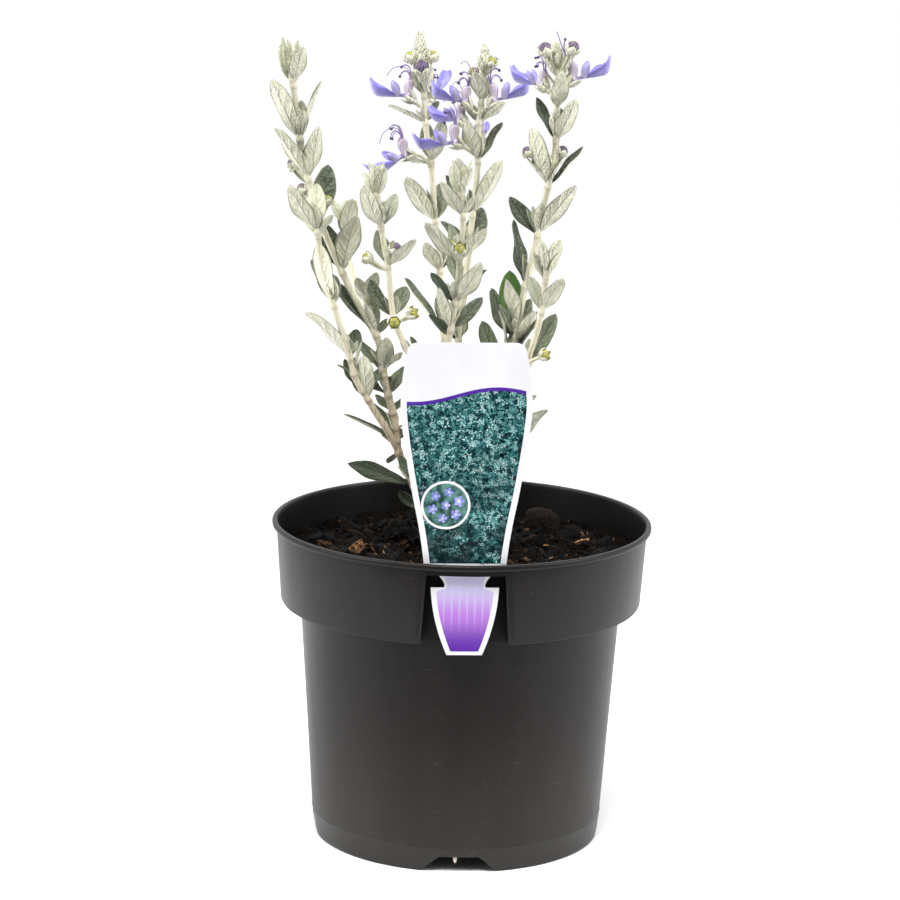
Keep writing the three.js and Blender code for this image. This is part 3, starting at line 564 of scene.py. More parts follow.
class NodePen:
    """Short ways to add and join shader nodes."""

    def __init__(self, name: str, roughness: float, specular: float) -> None:
        """Starts a material with a principled shader.

        Args:
            name: The material's name.
            roughness: How matt it is.
            specular: How strongly it shines.
        """
        self.material = bpy.data.materials.new(name)
        self.material.use_nodes = True
        self.tree = self.material.node_tree
        self.shader = self.tree.nodes["Principled BSDF"]
        self.dress(Roughness=roughness, Specular_IOR_Level=specular)

    def dress(self, **inputs: object) -> None:
        """Sets numbers on the shader's own sockets, by title with underscores for spaces."""
        for title, value in inputs.items():
            self.shader.inputs[title.replace("_", " ")].default_value = value

    def feed(self, socket: NodeSocket, value: object) -> None:
        """Links a socket into another, or sets its value.

        Args:
            socket: What is fed.
            value: A socket, a number, or three numbers.
        """
        if isinstance(value, NodeSocket):
            self.tree.links.new(value, socket)
        elif isinstance(value, tuple) and socket.type == "RGBA":
            socket.default_value = (*value, 1)
        else:
            socket.default_value = value

    def node(self, kind: str, feeds: dict[int | str, object] | None = None, **settings: object) -> Node:
        """Adds a node.

        Args:
            kind: Its type.
            feeds: What its inputs get, by number or title.
            **settings: Its properties.

        Returns:
            The node.
        """
        node = self.tree.nodes.new(kind)
        for key, value in settings.items():
            setattr(node, key, value)
        for key, value in (feeds or {}).items():
            self.feed(node.inputs[key], value)
        return node

    def math(self, operation: str, a: object, b: object = 0.0, c: object = 0.0) -> NodeSocket:
        """The result of a math node."""
        return self.node("ShaderNodeMath", {0: a, 1: b, 2: c}, operation=operation).outputs[0]

    def times(self, a: object, b: object, plus: object = None) -> NodeSocket:
        """The product of two values, with a third added where it is given."""
        return self.math("MULTIPLY", a, b) if plus is None else self.math("MULTIPLY_ADD", a, b, plus)

    def rest(self, share: object) -> NodeSocket:
        """What a share leaves of one."""
        return self.math("SUBTRACT", 1.0, share)

    def smooth(self, value: object, low: float, high: float) -> NodeSocket:
        """A smooth step from 0 at low to 1 at high."""
        feeds = {"Value": value, "From Min": low, "From Max": high}
        return self.node("ShaderNodeMapRange", feeds, interpolation_type="SMOOTHSTEP").outputs["Result"]

    def mix(self, share: object, a: object, b: object) -> NodeSocket:
        """A colour between two."""
        return self.node("ShaderNodeMix", {0: share, 6: a, 7: b}, data_type="RGBA").outputs[2]

    def tint(self, base: object, other: object, where: object, strength: float) -> NodeSocket:
        """A colour, turned towards another by the strength where a value is one."""
        return self.mix(self.times(where, strength), base, other)

    def noise(self, scale: float, detail: float = 4.0, stretch: Point = (1, 1, 1)) -> NodeSocket:
        """Noise on object coordinates.

        Args:
            scale: How many of its cells make up a metre.
            detail: How many finer layers it has.
            stretch: The share of the scale along each axis.

        Returns:
            The noise, about 0.5 in the mean.
        """
        place = self.node("ShaderNodeTexCoord").outputs["Object"]
        place = self.node("ShaderNodeMapping", {"Vector": place, "Scale": stretch}).outputs["Vector"]
        feeds = {"Vector": place, "Scale": scale, "Detail": detail}
        return self.node("ShaderNodeTexNoise", feeds).outputs["Fac"]

    def split(self, source: NodeSocket) -> list[NodeSocket]:
        """The three numbers of a vector."""
        return list(self.node("ShaderNodeSeparateXYZ", {0: source}).outputs)

    def attribute(self, name: str) -> list[NodeSocket]:
        """The three numbers of a mesh attribute."""
        return self.split(self.node("ShaderNodeAttribute", attribute_name=name).outputs["Vector"])

    def position(self) -> list[NodeSocket]:
        """Object coordinates in metres."""
        return self.split(self.node("ShaderNodeTexCoord").outputs["Object"])

    def bump(self, height: NodeSocket, depth: float) -> None:
        """Roughens the surface by a height, with a depth in millimetres."""
        bump = self.node("ShaderNodeBump", {"Height": height, "Distance": depth * MM})
        self.feed(self.shader.inputs["Normal"], bump.outputs["Normal"])

    def colour(self, value: object) -> None:
        """Sets the base colour."""
        self.feed(self.shader.inputs["Base Color"], value)


@dataclass(frozen=True)
class LeafFinish:
    """Grey-green leaf: dark, thinly felted upper face, and a white-felted underside with raised veins."""

    under: Colour = srgb(250, 248, 228)
    under_shade: Colour = srgb(190, 192, 154)
    upper_dark: Colour = srgb(44, 56, 40)
    upper_grey: Colour = srgb(152, 160, 134)
    young: Colour = srgb(226, 227, 200)
    rib: Colour = srgb(252, 250, 232)
    rim: Colour = srgb(98, 102, 72)
    mid_green: Colour = srgb(84, 100, 68)
    low_green: Colour = srgb(34, 48, 26)
    low_under: Colour = srgb(138, 140, 112)
    fresh_green: Colour = srgb(72, 108, 42)
    veins: float = 5.0
    vein_slant: float = 1.4

    def material(self) -> Material:
        """Builds the finish.

        Returns:
            The material.
        """
        pen = NodePen("felted_leaf", 0.82, 0.2)
        along, across, upper = pen.attribute("place")
        tone, age, kind = pen.attribute("tone")
        side = pen.math("ABSOLUTE", across)
        felt = pen.noise(2600, 3)
        speck = pen.smooth(pen.noise(950, 5), 0.4, 0.62)
        patch = pen.noise(190, 4)
        wander = pen.times(patch, 0.6, pen.times(along, self.veins))
        rib = pen.rest(pen.smooth(side, 0.03, 0.14))
        phase = pen.times(side, -self.vein_slant, wander)
        wave = pen.math("ABSOLUTE", pen.math("SUBTRACT", pen.math("FRACT", phase), 0.5))
        fade = pen.rest(pen.smooth(side, 0.6, 0.95))
        vein = pen.times(pen.smooth(wave, 0.24, 0.5), fade)
        lines = pen.math("MAXIMUM", rib, pen.times(vein, 0.55))
        rim = pen.smooth(side, 0.8, 1.0)
        blotch = pen.times(speck, 0.45, pen.smooth(patch, 0.3, 0.7))
        hollow = pen.times(pen.rest(lines), blotch)
        under = pen.tint(self.under, self.under_shade, hollow, 0.46)
        under = pen.tint(under, self.rib, lines, 0.6)
        under = pen.tint(under, self.rim, rim, 0.85)
        under = pen.tint(under, self.low_under, pen.smooth(kind, 0.2, 1.0), 0.5)
        grey = pen.times(tone, 0.85, pen.times(patch, 0.4, -0.45))
        grey = pen.times(speck, 0.35, grey)
        grey = pen.math("MAXIMUM", 0.0, pen.math("MINIMUM", 1.0, grey))
        over = pen.mix(grey, self.upper_dark, self.upper_grey)
        over = pen.tint(over, self.upper_dark, lines, 0.4)
        over = pen.tint(over, self.rim, rim, 0.5)
        over = pen.tint(over, self.mid_green, pen.smooth(kind, 0.0, 0.7), 0.55)
        over = pen.tint(over, self.low_green, pen.smooth(kind, 0.7, 1.0), 0.9)
        over = pen.mix(age, over, self.young)
        face = pen.smooth(upper, 0.35, 0.75)
        both = pen.mix(face, under, over)
        fresh = pen.tint(self.fresh_green, self.rim, lines, 0.3)
        pen.colour(pen.mix(pen.smooth(kind, 1.4, 1.6), both, fresh))
        sign = pen.times(face, -1.8, 1.0)
        relief = pen.times(lines, sign)
        relief = pen.times(patch, 0.6, relief)
        relief = pen.times(speck, 0.25, relief)
        pen.bump(pen.times(felt, 0.3, relief), 0.75)
        pen.dress(Sheen_Weight=0.12, Sheen_Roughness=0.6, Subsurface_Weight=0.06,
                     Subsurface_Radius=(0.002, 0.003, 0.001))
        return pen.material


@dataclass(frozen=True)
class StemFinish:
    """White-felted young stem that turns beige and streaked towards the soil."""

    young: Colour = srgb(226, 222, 196)
    old: Colour = srgb(176, 154, 124)
    streak: Colour = srgb(96, 72, 54)
    browning_from: float = 250.0
    browning_to: float = 150.0

    def material(self) -> Material:
        """Builds the finish.

        Returns:
            The material.
        """
        pen = NodePen("felted_stem", 0.85, 0.2)
        height = pen.position()[2]
        old = pen.smooth(height, self.browning_from * MM, self.browning_to * MM)
        streaks = pen.noise(900, 4, (1, 1, 0.12))
        felt = pen.noise(2800, 3)
        base = pen.mix(old, self.young, self.old)
        joint = pen.attribute("place")[2]
        marks = pen.times(pen.smooth(streaks, 0.46, 0.66), pen.times(old, 0.5, 0.2))
        worn = pen.times(joint, pen.times(old, 0.45, 0.35))
        pen.colour(pen.mix(pen.math("MAXIMUM", marks, worn), base, self.streak))
        pen.bump(pen.times(streaks, 1.2, felt), 0.3)
        pen.dress(Sheen_Weight=0.3)
        return pen.material


@dataclass(frozen=True)
class PetalFinish:
    """Lilac-blue corolla with darker veins, paler towards its throat and on its upright lobes."""

    edge: Colour = srgb(144, 137, 220)
    middle: Colour = srgb(180, 175, 234)
    pale: Colour = srgb(222, 209, 220)
    vein: Colour = srgb(116, 100, 184)

    def material(self) -> Material:
        """Builds the finish.

        Returns:
            The material.
        """
        pen = NodePen("lilac_petal", 0.6, 0.3)
        along, across, _ = pen.attribute("place")
        pale, _, _ = pen.attribute("tone")
        side = pen.math("ABSOLUTE", across)
        cloud = pen.times(pen.noise(330, 3), 1.4, -0.7)
        base = pen.mix(pen.math("ADD", pen.smooth(side, 0.1, 0.9), cloud), self.middle, self.edge)
        throat = pen.smooth(along, 0.4, 0.0)
        base = pen.tint(base, self.pale, throat, 0.7)
        base = pen.mix(pale, base, self.pale)
        fan = pen.math("SINE", pen.times(across, 15.0))
        lines = pen.times(pen.smooth(fan, 0.45, 1.0), pen.smooth(along, 1.0, 0.5))
        pen.colour(pen.tint(base, self.vein, lines, 0.45))
        soft = pen.noise(1500, 3)
        pen.bump(pen.times(lines, -0.6, soft), 0.2)
        pen.dress(Subsurface_Weight=0.1, Subsurface_Radius=(0.002, 0.002, 0.003), Sheen_Weight=0.2)
        return pen.material


@dataclass(frozen=True)
class BudFinish:
    """Closed bud: rounded petals folded over each other, blushed at the tip and painted darker in the folds
    as shade, in patches of a third tone.
    """

    name: str
    body: Colour
    # The tip's blush, also laid in the folds as painted shade.
    blush: Colour
    patch: Colour

    def material(self) -> Material:
        """Builds the finish.

        Returns:
            The material.
        """
        pen = NodePen(self.name, 0.55, 0.35)
        along, across, _ = pen.attribute("place")
        cloud = pen.noise(500, 4)
        blush = pen.times(cloud, 0.7, pen.times(along, 0.4))
        base = pen.mix(pen.smooth(blush, 0.35, 0.85), self.body, self.blush)
        seam = pen.math("ABSOLUTE", pen.math("SINE", pen.times(across, 5 * math.pi)))
        fold = pen.smooth(seam, 0.1, 0.55)
        base = pen.mix(pen.smooth(pen.noise(220, 2), 0.5, 0.68), base, self.patch)
        # Painted shade: the folds between the petals take the darker blush colour.
        base = pen.mix(pen.times(fold, -0.8, 0.8), base, self.blush)
        pen.colour(base)
        pen.bump(pen.times(fold, 1.0, pen.times(cloud, 0.3)), 0.5)
        return pen.material


@dataclass(frozen=True)
class TintedFinish:
    """A finish of two colours in soft patches of about 1 / cells metres."""

    name: str
    light: Colour
    dark: Colour
    cells: float = 400.0
    roughness: float = 0.7
    specular: float = 0.4
    relief: float = 0.15

    def material(self) -> Material:
        """Builds the finish.

        Returns:
            The material.
        """
        pen = NodePen(self.name, self.roughness, self.specular)
        cloud = pen.noise(self.cells, 5)
        pen.colour(pen.mix(pen.smooth(cloud, 0.35, 0.65), self.dark, self.light))
        pen.bump(cloud, self.relief)
        return pen.material


@dataclass(frozen=True)
class PrintFinish(TintedFinish):
    """A flat printed colour."""

    roughness: float = 0.4
    specular: float = 0.4
    relief: float = 0.0


@dataclass(frozen=True)
class FilamentFinish:
    """Lilac filaments that darken to purple anthers."""

    pale: Colour = srgb(168, 150, 198)
    deep: Colour = srgb(104, 76, 148)
    anther: Colour = srgb(58, 40, 84)

    def material(self) -> Material:
        """Builds the finish.

        Returns:
            The material.
        """
        pen = NodePen("filament", 0.5, 0.4)
        along = pen.attribute("place")[0]
        head = pen.attribute("tone")[1]
        grain = pen.noise(900, 3)
        thread = pen.mix(pen.times(grain, 0.5, pen.times(along, 0.4)), self.pale, self.deep)
        pen.colour(pen.mix(head, thread, self.anther))
        pen.bump(grain, 0.08)
        return pen.material


@dataclass(frozen=True)
class LitterFinish:
    """Bark chips and fibres, each piece with a tone of its own."""

    name: str
    dark: Colour
    middle: Colour
    light: Colour
    share_light: float

    def material(self) -> Material:
        """Builds the finish.

        Returns:
            The material.
        """
        pen = NodePen(self.name, 0.8, 0.1)
        own = pen.node("ShaderNodeAttribute", attribute_name="own_tone").outputs["Fac"]
        grain = pen.noise(700, 5, (1, 1, 0.4))
        base = pen.mix(pen.smooth(own, 0.3, 0.9), self.dark, self.middle)
        base = pen.mix(pen.smooth(own, 1 - self.share_light, 1.0), base, self.light)
        pen.colour(pen.mix(pen.smooth(grain, 0.35, 0.7), self.dark, base))
        pen.bump(grain, 0.5)
        return pen.material


@dataclass(frozen=True)
class PotFinish:
    """Satin injection-moulded plastic, faintly streaked round the wall, with dust marks, lighter near the
    foot as painted floor glow, and darker and less shiny inside as painted shade.

    The inner wall with the painted shade is what lies deeper than the skin under the band's slope, above
    the band's lower edge and clear of the label pocket. Places are metres, and a pair is where a smooth step
    starts and ends.
    """

    base: Colour = srgb(17, 15, 14)
    # Dust marks and the painted floor glow near the foot both take this colour.
    dust: Colour = srgb(74, 71, 67)
    # Painted shade: the colour of the pot's inner wall.
    inner_shade: Colour = srgb(17, 16, 15)
    # How high the painted floor glow reaches above the foot, in metres.
    foot_glow_reach: float = 0.09
    band_slope: float = 0.0647
    band_start: float = 0.07386
    skin: Pair = (0.0004, 0.0009)
    band_edge: Pair = (0.1085, 0.1095)
    pocket_side: Pair = (0.0202, 0.0206)
    pocket_back: Pair = (-0.06, -0.058)

    def material(self) -> Material:
        """Builds the finish.

        Returns:
            The material.
        """
        pen = NodePen("moulded_plastic", 0.46, 0.3)
        flow = pen.noise(60, 5, (1, 1, 0.25))
        grain = pen.noise(1800, 2)
        scuff = pen.noise(240, 6, (1, 1, 4))
        x, y, z = pen.position()
        dust = pen.times(pen.smooth(scuff, 0.6, 0.78), pen.smooth(flow, 0.4, 0.7))
        # Painted floor glow: lighter towards the foot as if lit from the floor, over a faint film all over.
        film_and_foot_glow = pen.times(pen.smooth(z, self.foot_glow_reach, 0.0), 0.26, pen.times(flow, 0.1))
        shell = pen.mix(pen.times(dust, 0.45, film_and_foot_glow), self.base, self.dust)
        radius = pen.math("SQRT", pen.times(x, x, pen.times(y, y)))
        depth = pen.math("SUBTRACT", pen.times(z, self.band_slope, self.band_start), radius)
        # Painted shade: the inner wall gets a darker colour and a lower specular level, as if in shade.
        inside = pen.times(pen.smooth(depth, *self.skin), pen.smooth(z, *self.band_edge))
        beside = pen.smooth(pen.math("ABSOLUTE", x), *self.pocket_side)
        inside = pen.times(inside, pen.math("MAXIMUM", beside, pen.smooth(y, *self.pocket_back)))
        pen.colour(pen.mix(inside, shell, self.inner_shade))
        pen.feed(pen.shader.inputs["Specular IOR Level"], pen.times(inside, -0.18, 0.21))
        rough = pen.times(flow, 0.16, pen.times(dust, 0.2, 0.32))
        pen.feed(pen.shader.inputs["Roughness"], rough)
        pen.bump(pen.times(flow, 2.0, pen.times(grain, 0.25)), 0.12)
        return pen.material


@dataclass(frozen=True)
class InkFinish:
    """Printed foliage that fades from bright above to dark below, in soft clumps."""

    name: str
    light: Colour
    dark: Colour
    low: float
    high: float
    shadow: Colour = srgb(8, 26, 32)

    def material(self) -> Material:
        """Builds the finish.

        Returns:
            The material.
        """
        pen = NodePen(self.name, 0.4, 0.4)
        ink = pen.mix(pen.smooth(pen.noise(500, 4), 0.35, 0.65), self.dark, self.light)
        clump = pen.smooth(pen.noise(130, 3), 0.62, 0.4)
        drop = pen.smooth(pen.position()[2], (self.high - 12) * MM, self.low * MM)
        shade = pen.times(clump, pen.times(drop, 0.75, 0.1))
        pen.colour(pen.mix(shade, ink, self.shadow))
        return pen.material


@dataclass(frozen=True)
class TailPrint:
    """Violet print of the label's tail: pale at the top, deep below, with light upright streaks."""

    deep: Colour = srgb(84, 34, 152)
    middle: Colour = srgb(176, 120, 208)
    pale: Colour = srgb(206, 204, 234)
    bottom: float = 104.0
    top: float = 138.0

    def material(self) -> Material:
        """Builds the finish.

        Returns:
            The material.
        """
        pen = NodePen("violet_print", 0.45, 0.25)
        x, _, z = pen.position()
        rise = pen.smooth(z, (self.bottom - 4) * MM, (self.top + 4) * MM)
        streak = pen.math("SINE", pen.times(x, 1900.0))
        shine = pen.times(pen.smooth(streak, 0.5, 1.0), pen.smooth(rise, 0.15, 0.8))
        base = pen.mix(pen.smooth(rise, 0.0, 0.55), self.deep, self.middle)
        base = pen.mix(pen.smooth(rise, 0.45, 1.0), base, self.pale)
        pen.colour(pen.tint(base, self.pale, shine, 0.5))
        return pen.material


@dataclass(frozen=True)
class Blade:
    """A thin blade with a shaped outline: a leaf, a bract, a calyx lobe or a petal lobe."""

    outline: Curve
    thickness: float = 0.5
    fold: float = 0.3
    arch: float = 0.0
    tip_lift: float = 0.0
    twist: float = 0.0
    wave: float = 0.0
    rolled_edge: float = 0.0
    tip_power: float = 3.0
    columns: int = 9
    rows: int = 20

    def add(self, sink: MeshSink, base: Array, along: Array, across: Array, length: float,
            width: float, tone: Colour, finish: int, phase: float = 0.0) -> None:
        """Adds one blade to a sink.

        Args:
            sink: What takes the mesh.
            base: Where the blade's root is.
            along: The way it grows.
            across: Its width's direction; the upper face looks along their cross product.
            length: Its length.
            width: Its greatest width.
            tone: What its finish reads for the whole blade.
            finish: The index of its material.
            phase: Where the wave of its edge starts.
        """
        s = 0.5 - 0.5 * np.cos(np.linspace(0.03, 0.985, self.rows) * math.pi)
        up = np.cross(along, across)
        half = spline(self.outline, s) * width / 2
        v = np.linspace(-1, 1, self.columns)
        lift = -self.arch * 4 * s * (1 - s) + self.tip_lift * s ** self.tip_power
        centre = base + np.outer(s * length, along) + np.outer(lift * length, up)
        angle = self.twist * s
        side = np.cos(angle)[:, None] * across + np.sin(angle)[:, None] * up
        face = np.cos(angle)[:, None] * up - np.sin(angle)[:, None] * across
        rise = self.fold * np.abs(v) ** 1.4 - self.rolled_edge * np.abs(v) ** 6
        ripple = self.wave * np.sin(9 * s[:, None] + phase + 2 * np.sign(v)) * np.abs(v) ** 3
        surface = (centre[:, None] + side[:, None] * (half[:, None] * v)[..., None]
                   + face[:, None] * (half[:, None] * (rise + ripple))[..., None])
        depth = self.thickness / 2 * np.sqrt(np.clip(1 - v ** 4, 0, 1)) * np.minimum(1, half / 1.2)[:, None]
        top = surface + face[:, None] * depth[..., None]
        under = surface - face[:, None] * depth[..., None]
        rings = np.concatenate([top, under[:, -2:0:-1]], axis=1)
        places = np.zeros_like(rings)
        places[..., 0] = s[:, None]
        places[:, :self.columns, 1] = v
        places[:, self.columns:, 1] = v[-2:0:-1]
        places[:, 1:self.columns - 1, 2] = 1
        places[:, [0, self.columns - 1], 2] = 0.5
        tip = base + along * length + up * self.tip_lift * length
        sink.loft(rings, places, tone, finish, start=base - along * 0.3, end=tip)


def tube(sink: MeshSink, points: Array, radii: Array, tone: Colour, finish: int, sides: int = 10,
         ridges: float = 0.0, marks: Array | None = None) -> None:
    """Adds a tube along points.

    Args:
        sink: What takes the mesh.
        points: The middle line.
        radii: The radius at each point.
        tone: What the finish reads for the whole tube.
        finish: The index of its material.
        sides: How many sides it has.
        ridges: How far its four ridges stand out, as a share of the radius.
        marks: What the finish reads at each point as a mark, such as a joint.
    """
    tangents = np.gradient(points, axis=0)
    tangents /= np.linalg.norm(tangents, axis=1)[:, None]
    u = unit(np.cross(tangents[0], [0.31, 0.87, 0.12]))
    angle = circle(sides)
    shape = 1 + ridges * np.cos(4 * angle)
    rings = []
    for point, tangent, radius in zip(points, tangents, radii):
        u = unit(u - tangent * (u @ tangent))
        v = np.cross(tangent, u)
        around = (np.cos(angle) * shape)[:, None] * u + (np.sin(angle) * shape)[:, None] * v
        rings.append(point + radius * around)
    rings = np.array(rings)
    places = np.zeros_like(rings)
    places[..., 0] = np.linspace(0, 1, len(points))[:, None]
    places[..., 1] = angle / math.pi - 1
    if marks is not None:
        places[..., 2] = marks[:, None]
    sink.loft(rings, places, tone, finish)


LEAF_OUTLINE = ((0, 0.1), (0.07, 0.12), (0.14, 0.3), (0.3, 0.75), (0.48, 1), (0.68, 0.92), (0.85, 0.62),
                (0.94, 0.36), (1, 0))
BRACT_OUTLINE = ((0, 0.5), (0.2, 0.9), (0.4, 1), (0.65, 0.85), (0.85, 0.5), (1, 0))
LIP_OUTLINE = ((0, 0.28), (0.15, 0.28), (0.36, 0.34), (0.48, 0.58), (0.6, 0.86), (0.75, 0.98), (0.88, 1),
               (0.95, 0.84), (0.985, 0.5), (1, 0))
TOOTH_OUTLINE = ((0, 0.9), (0.2, 1), (0.45, 0.88), (0.7, 0.55), (0.88, 0.2), (1, 0))
SIDE_OUTLINE = ((0, 0.5), (0.25, 0.85), (0.5, 1), (0.75, 0.8), (0.92, 0.38), (1, 0))
LOBE_OUTLINE = ((0, 0.45), (0.3, 0.8), (0.6, 1), (0.82, 0.8), (0.94, 0.45), (1, 0))


@dataclass
class FlowerMaker:
    """Makes blooms and closed buds, with the calyces that hold them."""

    tube_length: float = 5.0
    tube_lift: float = 28.0
    lip_drop: float = 14.0
    lip: Blade = Blade(LIP_OUTLINE, thickness=0.4, fold=1.4, tip_lift=0.42, wave=0.1, rolled_edge=0.15,
                       tip_power=14.0, columns=15, rows=44)
    side_lobe: Blade = Blade(SIDE_OUTLINE, thickness=0.4, fold=0.5, arch=0.05, tip_lift=0.12, wave=0.1,
                             rows=16)
    upper_lobe: Blade = Blade(LOBE_OUTLINE, thickness=0.4, fold=0.4, arch=-0.06, tip_lift=0.05, wave=0.06,
                              rows=14)
    tooth: Blade = Blade(TOOTH_OUTLINE, fold=0.5, arch=0.08, tip_lift=-0.04, rows=12)
    wrap: Blade = Blade(TOOTH_OUTLINE, fold=0.6, arch=0.14, tip_lift=0.1, tip_power=2.0, rows=12)
    upright_stamen: Curve = ((0, 0), (-0.6, 6), (-1.4, 11), (-1.4, 15), (-0.4, 17.5))
    upright_style: Curve = ((0, 0), (-0.8, 7), (-2.2, 14), (-3, 19.5), (-3.2, 21.5))
    long_stamen: Curve = ((0, 0), (0.2, 5), (0.4, 10), (1.6, 13), (3.6, 13.6), (4.9, 12.4))
    short_stamen: Curve = ((0, 0), (0.3, 5), (0.7, 9), (2.4, 10.8), (4.2, 10), (5, 8))
    near_style: Curve = ((0, 0), (-0.2, 7), (0, 13), (2, 17.2), (4.2, 18.6), (5.8, 16.8))
    far_style: Curve = ((0, 0), (0.4, 6), (1.2, 11), (4.2, 12.6), (8.4, 11.4), (11, 7.4))

    def calyx(self, sink: MeshSink, base: Array, floor: Array, axis: Array, radius: float,
              depth: float, closed: bool) -> None:
        """Adds a stalk and the five-toothed felted cup on it.

        Args:
            sink: What takes the mesh.
            base: The stalk's root in the stem.
            floor: The bottom of the cup.
            axis: The way the cup opens.
            radius: The radius of what it holds.
            depth: How far its teeth reach up.
            closed: Whether its teeth wrap round a closed bud.
        """
        blade, lean, share = (self.wrap, 0.14, 1.4) if closed else (self.tooth, 0.22, 1.25)
        bend = floor - axis * 2.0
        stalk = Path([base, (base + bend) / 2, bend, floor + axis * 0.2]).at(np.linspace(0, 1, 9))
        tube(sink, stalk, np.linspace(0.75, 0.85, 9), (0.5, 0, 0), STEM, 8)
        across = unit(np.cross(axis, [0.2, 0.3, 0.9]))
        other = np.cross(axis, across)
        angle = circle(25)
        levels = np.array([-0.12, 0.0, 0.16, 0.34, 0.46, 0.46, 0.34, 0.14])
        spans = np.array([0.8, radius * 0.6, radius * 0.95, radius + 0.45, radius + 0.6, radius + 0.25,
                          radius * 0.85, 0.5])
        ribs = 1 + 0.06 * np.cos(5 * angle)
        ring = np.cos(angle)[:, None] * across + np.sin(angle)[:, None] * other
        rings = np.array([floor + axis * level * depth + ring * (span * ribs)[:, None]
                          for level, span in zip(levels, spans)])
        places = np.zeros_like(rings)
        places[..., 0] = np.linspace(0.2, 0.6, len(levels))[:, None]
        places[..., 1] = 0.4
        sink.loft(rings, places, (0.9, 0.9, 0), LEAF)
        for k in range(5):
            a = 2 * math.pi * k / 5
            outward = math.cos(a) * across + math.sin(a) * other
            along = unit(axis + lean * outward)
            wide = np.cross(outward, along)
            root = floor + axis * depth * 0.22 + outward * (radius + 0.3)
            blade.add(sink, root, along, -wide, depth * 0.85, share * (radius + 0.6), (0.9, 0.8, 0), LEAF)

    def bud(self, name: str, centre: Array, axis: Array, radius: float, material: Material) -> Object:
        """A closed bud: a ball with folds that meet at its tip.

        Args:
            name: The object's name.
            centre: The ball's centre.
            axis: The way its tip points.
            radius: Its radius.
            material: Its finish.

        Returns:
            The bud's object.
        """
        sink = MeshSink()
        polar = np.linspace(0.12, math.pi - 0.12, 18)
        around = circle(40)
        across = unit(np.cross(axis, [0.1, 0.4, 0.8]))
        other = np.cross(axis, across)
        swell = 1.04 - 0.09 * np.exp(-8 * np.abs(np.sin(2.5 * around[None] + 1.3 * np.cos(polar)[:, None])))
        reach = radius * np.sin(polar)[:, None] * swell
        rings = (centre - np.outer(np.cos(polar), axis)[:, None] * radius * 1.08
                 + reach[..., None] * (np.cos(around)[:, None] * across + np.sin(around)[:, None] * other))
        places = np.zeros_like(rings)
        places[..., 0] = np.linspace(0, 1, len(polar))[:, None]
        places[..., 1] = around / math.pi - 1 + 0.166 * np.cos(polar)[:, None]
        sink.loft(rings, places, (0, 0, 0), 0)
        return sink.build(name, [material])

    def bloom(self, name: str, row: BloomRow, seat: Array, materials: Sequence[Material],
              rng: Generator) -> Object:
        """An open bloom: tube, boat-shaped lip, side lobes, upright lobes, stamens and style.

        Args:
            name: The object's name.
            row: How it faces.
            seat: Where its tube starts.
            materials: Petal and filament finishes.
            rng: Its random numbers.

        Returns:
            The bloom's object.
        """
        sink = MeshSink()
        front, side, top = pointing(row.facing, 90), pointing(row.facing + 90, 90), np.array([0, 0, 1.0])

        def aim(pitch: float, spread: float = 0.0) -> Array:
            """A direction from pitch above the level and spread to the side."""
            p, q = math.radians(pitch), math.radians(spread)
            return (front * math.cos(p) + top * math.sin(p)) * math.cos(q) + side * math.sin(q)

        axis = aim(row.pitch + self.tube_lift)
        size = row.size
        throat = seat + axis * self.tube_length * size
        line = seat + np.outer(np.linspace(0, self.tube_length * size, 7), axis)
        tube(sink, line, np.array([1.1, 1.2, 1.25, 1.35, 1.5, 1.75, 1.9]) * size, (0.8, 0, 0), PETAL, 16)
        root = throat - axis * 0.9
        floor = aim(row.pitch - self.lip_drop)
        self.lip.add(sink, root - top * 0.4, floor, side, 17.5 * size, 7.6 * size, (0.0, 0, 0), PETAL,
                     rng.uniform(0, 6))
        for hand in (1, -1):
            for blade, start, pitch, spread, length, width, pale in (
                    (self.side_lobe, 4.2, row.pitch + 50, 22, 7.6, 3.6, 0.25),
                    (self.upper_lobe, 0.4, row.pitch * 0.5 + 88, 10, 7.6, 4.4, 1.0)):
                along = aim(pitch, hand * spread)
                across = -hand * unit(np.cross(side, along))
                foot = root + floor * start * size + side * hand * 1.1
                blade.add(sink, foot, along, across, length * size, width * size, (pale, 0, 0), PETAL,
                          rng.uniform(0, 6))
        lean = math.radians(row.pitch * 0.5)
        ahead = front * math.cos(lean) + top * math.sin(lean)
        rise = top * math.cos(lean) - front * math.sin(lean)
        long, short, style = {
            Stamens.ARCHED: (self.long_stamen, self.short_stamen, self.near_style),
            Stamens.HOOKED: (self.long_stamen, self.short_stamen, self.far_style),
            Stamens.UPRIGHT: (self.upright_stamen, self.upright_stamen, self.upright_style),
        }[row.stamens]
        upright = row.stamens is Stamens.UPRIGHT
        spread_share, thicker = (0.3, 1.3) if upright else (1.0, 1.0)
        for route, spread, thick, anther in ((long, 1.3, 0.3, True), (long, -0.6, 0.3, True),
                                             (short, 0.5, 0.3, True), (short, -1.5, 0.3, True),
                                             (style, 0.1, 0.24, False)):
            drift = (spread + rng.uniform(-0.4, 0.4)) * spread_share
            points = [root + (ahead * u + rise * v) * size + side * drift * v / 10 for u, v in route]
            self.filament(sink, Path(points), thick * thicker, anther)
        return sink.build(name, materials)

    @staticmethod
    def filament(sink: MeshSink, path: Path, thick: float, anther: bool) -> None:
        """Adds a stamen or the style.

        Args:
            sink: What takes the mesh.
            path: Its middle line, from the throat to its end.
            thick: Its radius at the throat.
            anther: Whether it ends in an anther.
        """
        curve = path.at(np.linspace(0, 1, 22))
        tube(sink, curve, np.linspace(thick, thick * 0.7, 22), (0, 0, 0), THREAD, 6)
        if anther:
            way = unit(curve[-1] - curve[-3])
            body = curve[-1] + np.outer(np.linspace(-0.6, 0.6, 7), way)
            tube(sink, body, np.array([0.15, 0.42, 0.56, 0.6, 0.56, 0.42, 0.15]), (0, 1, 0), THREAD, 8)


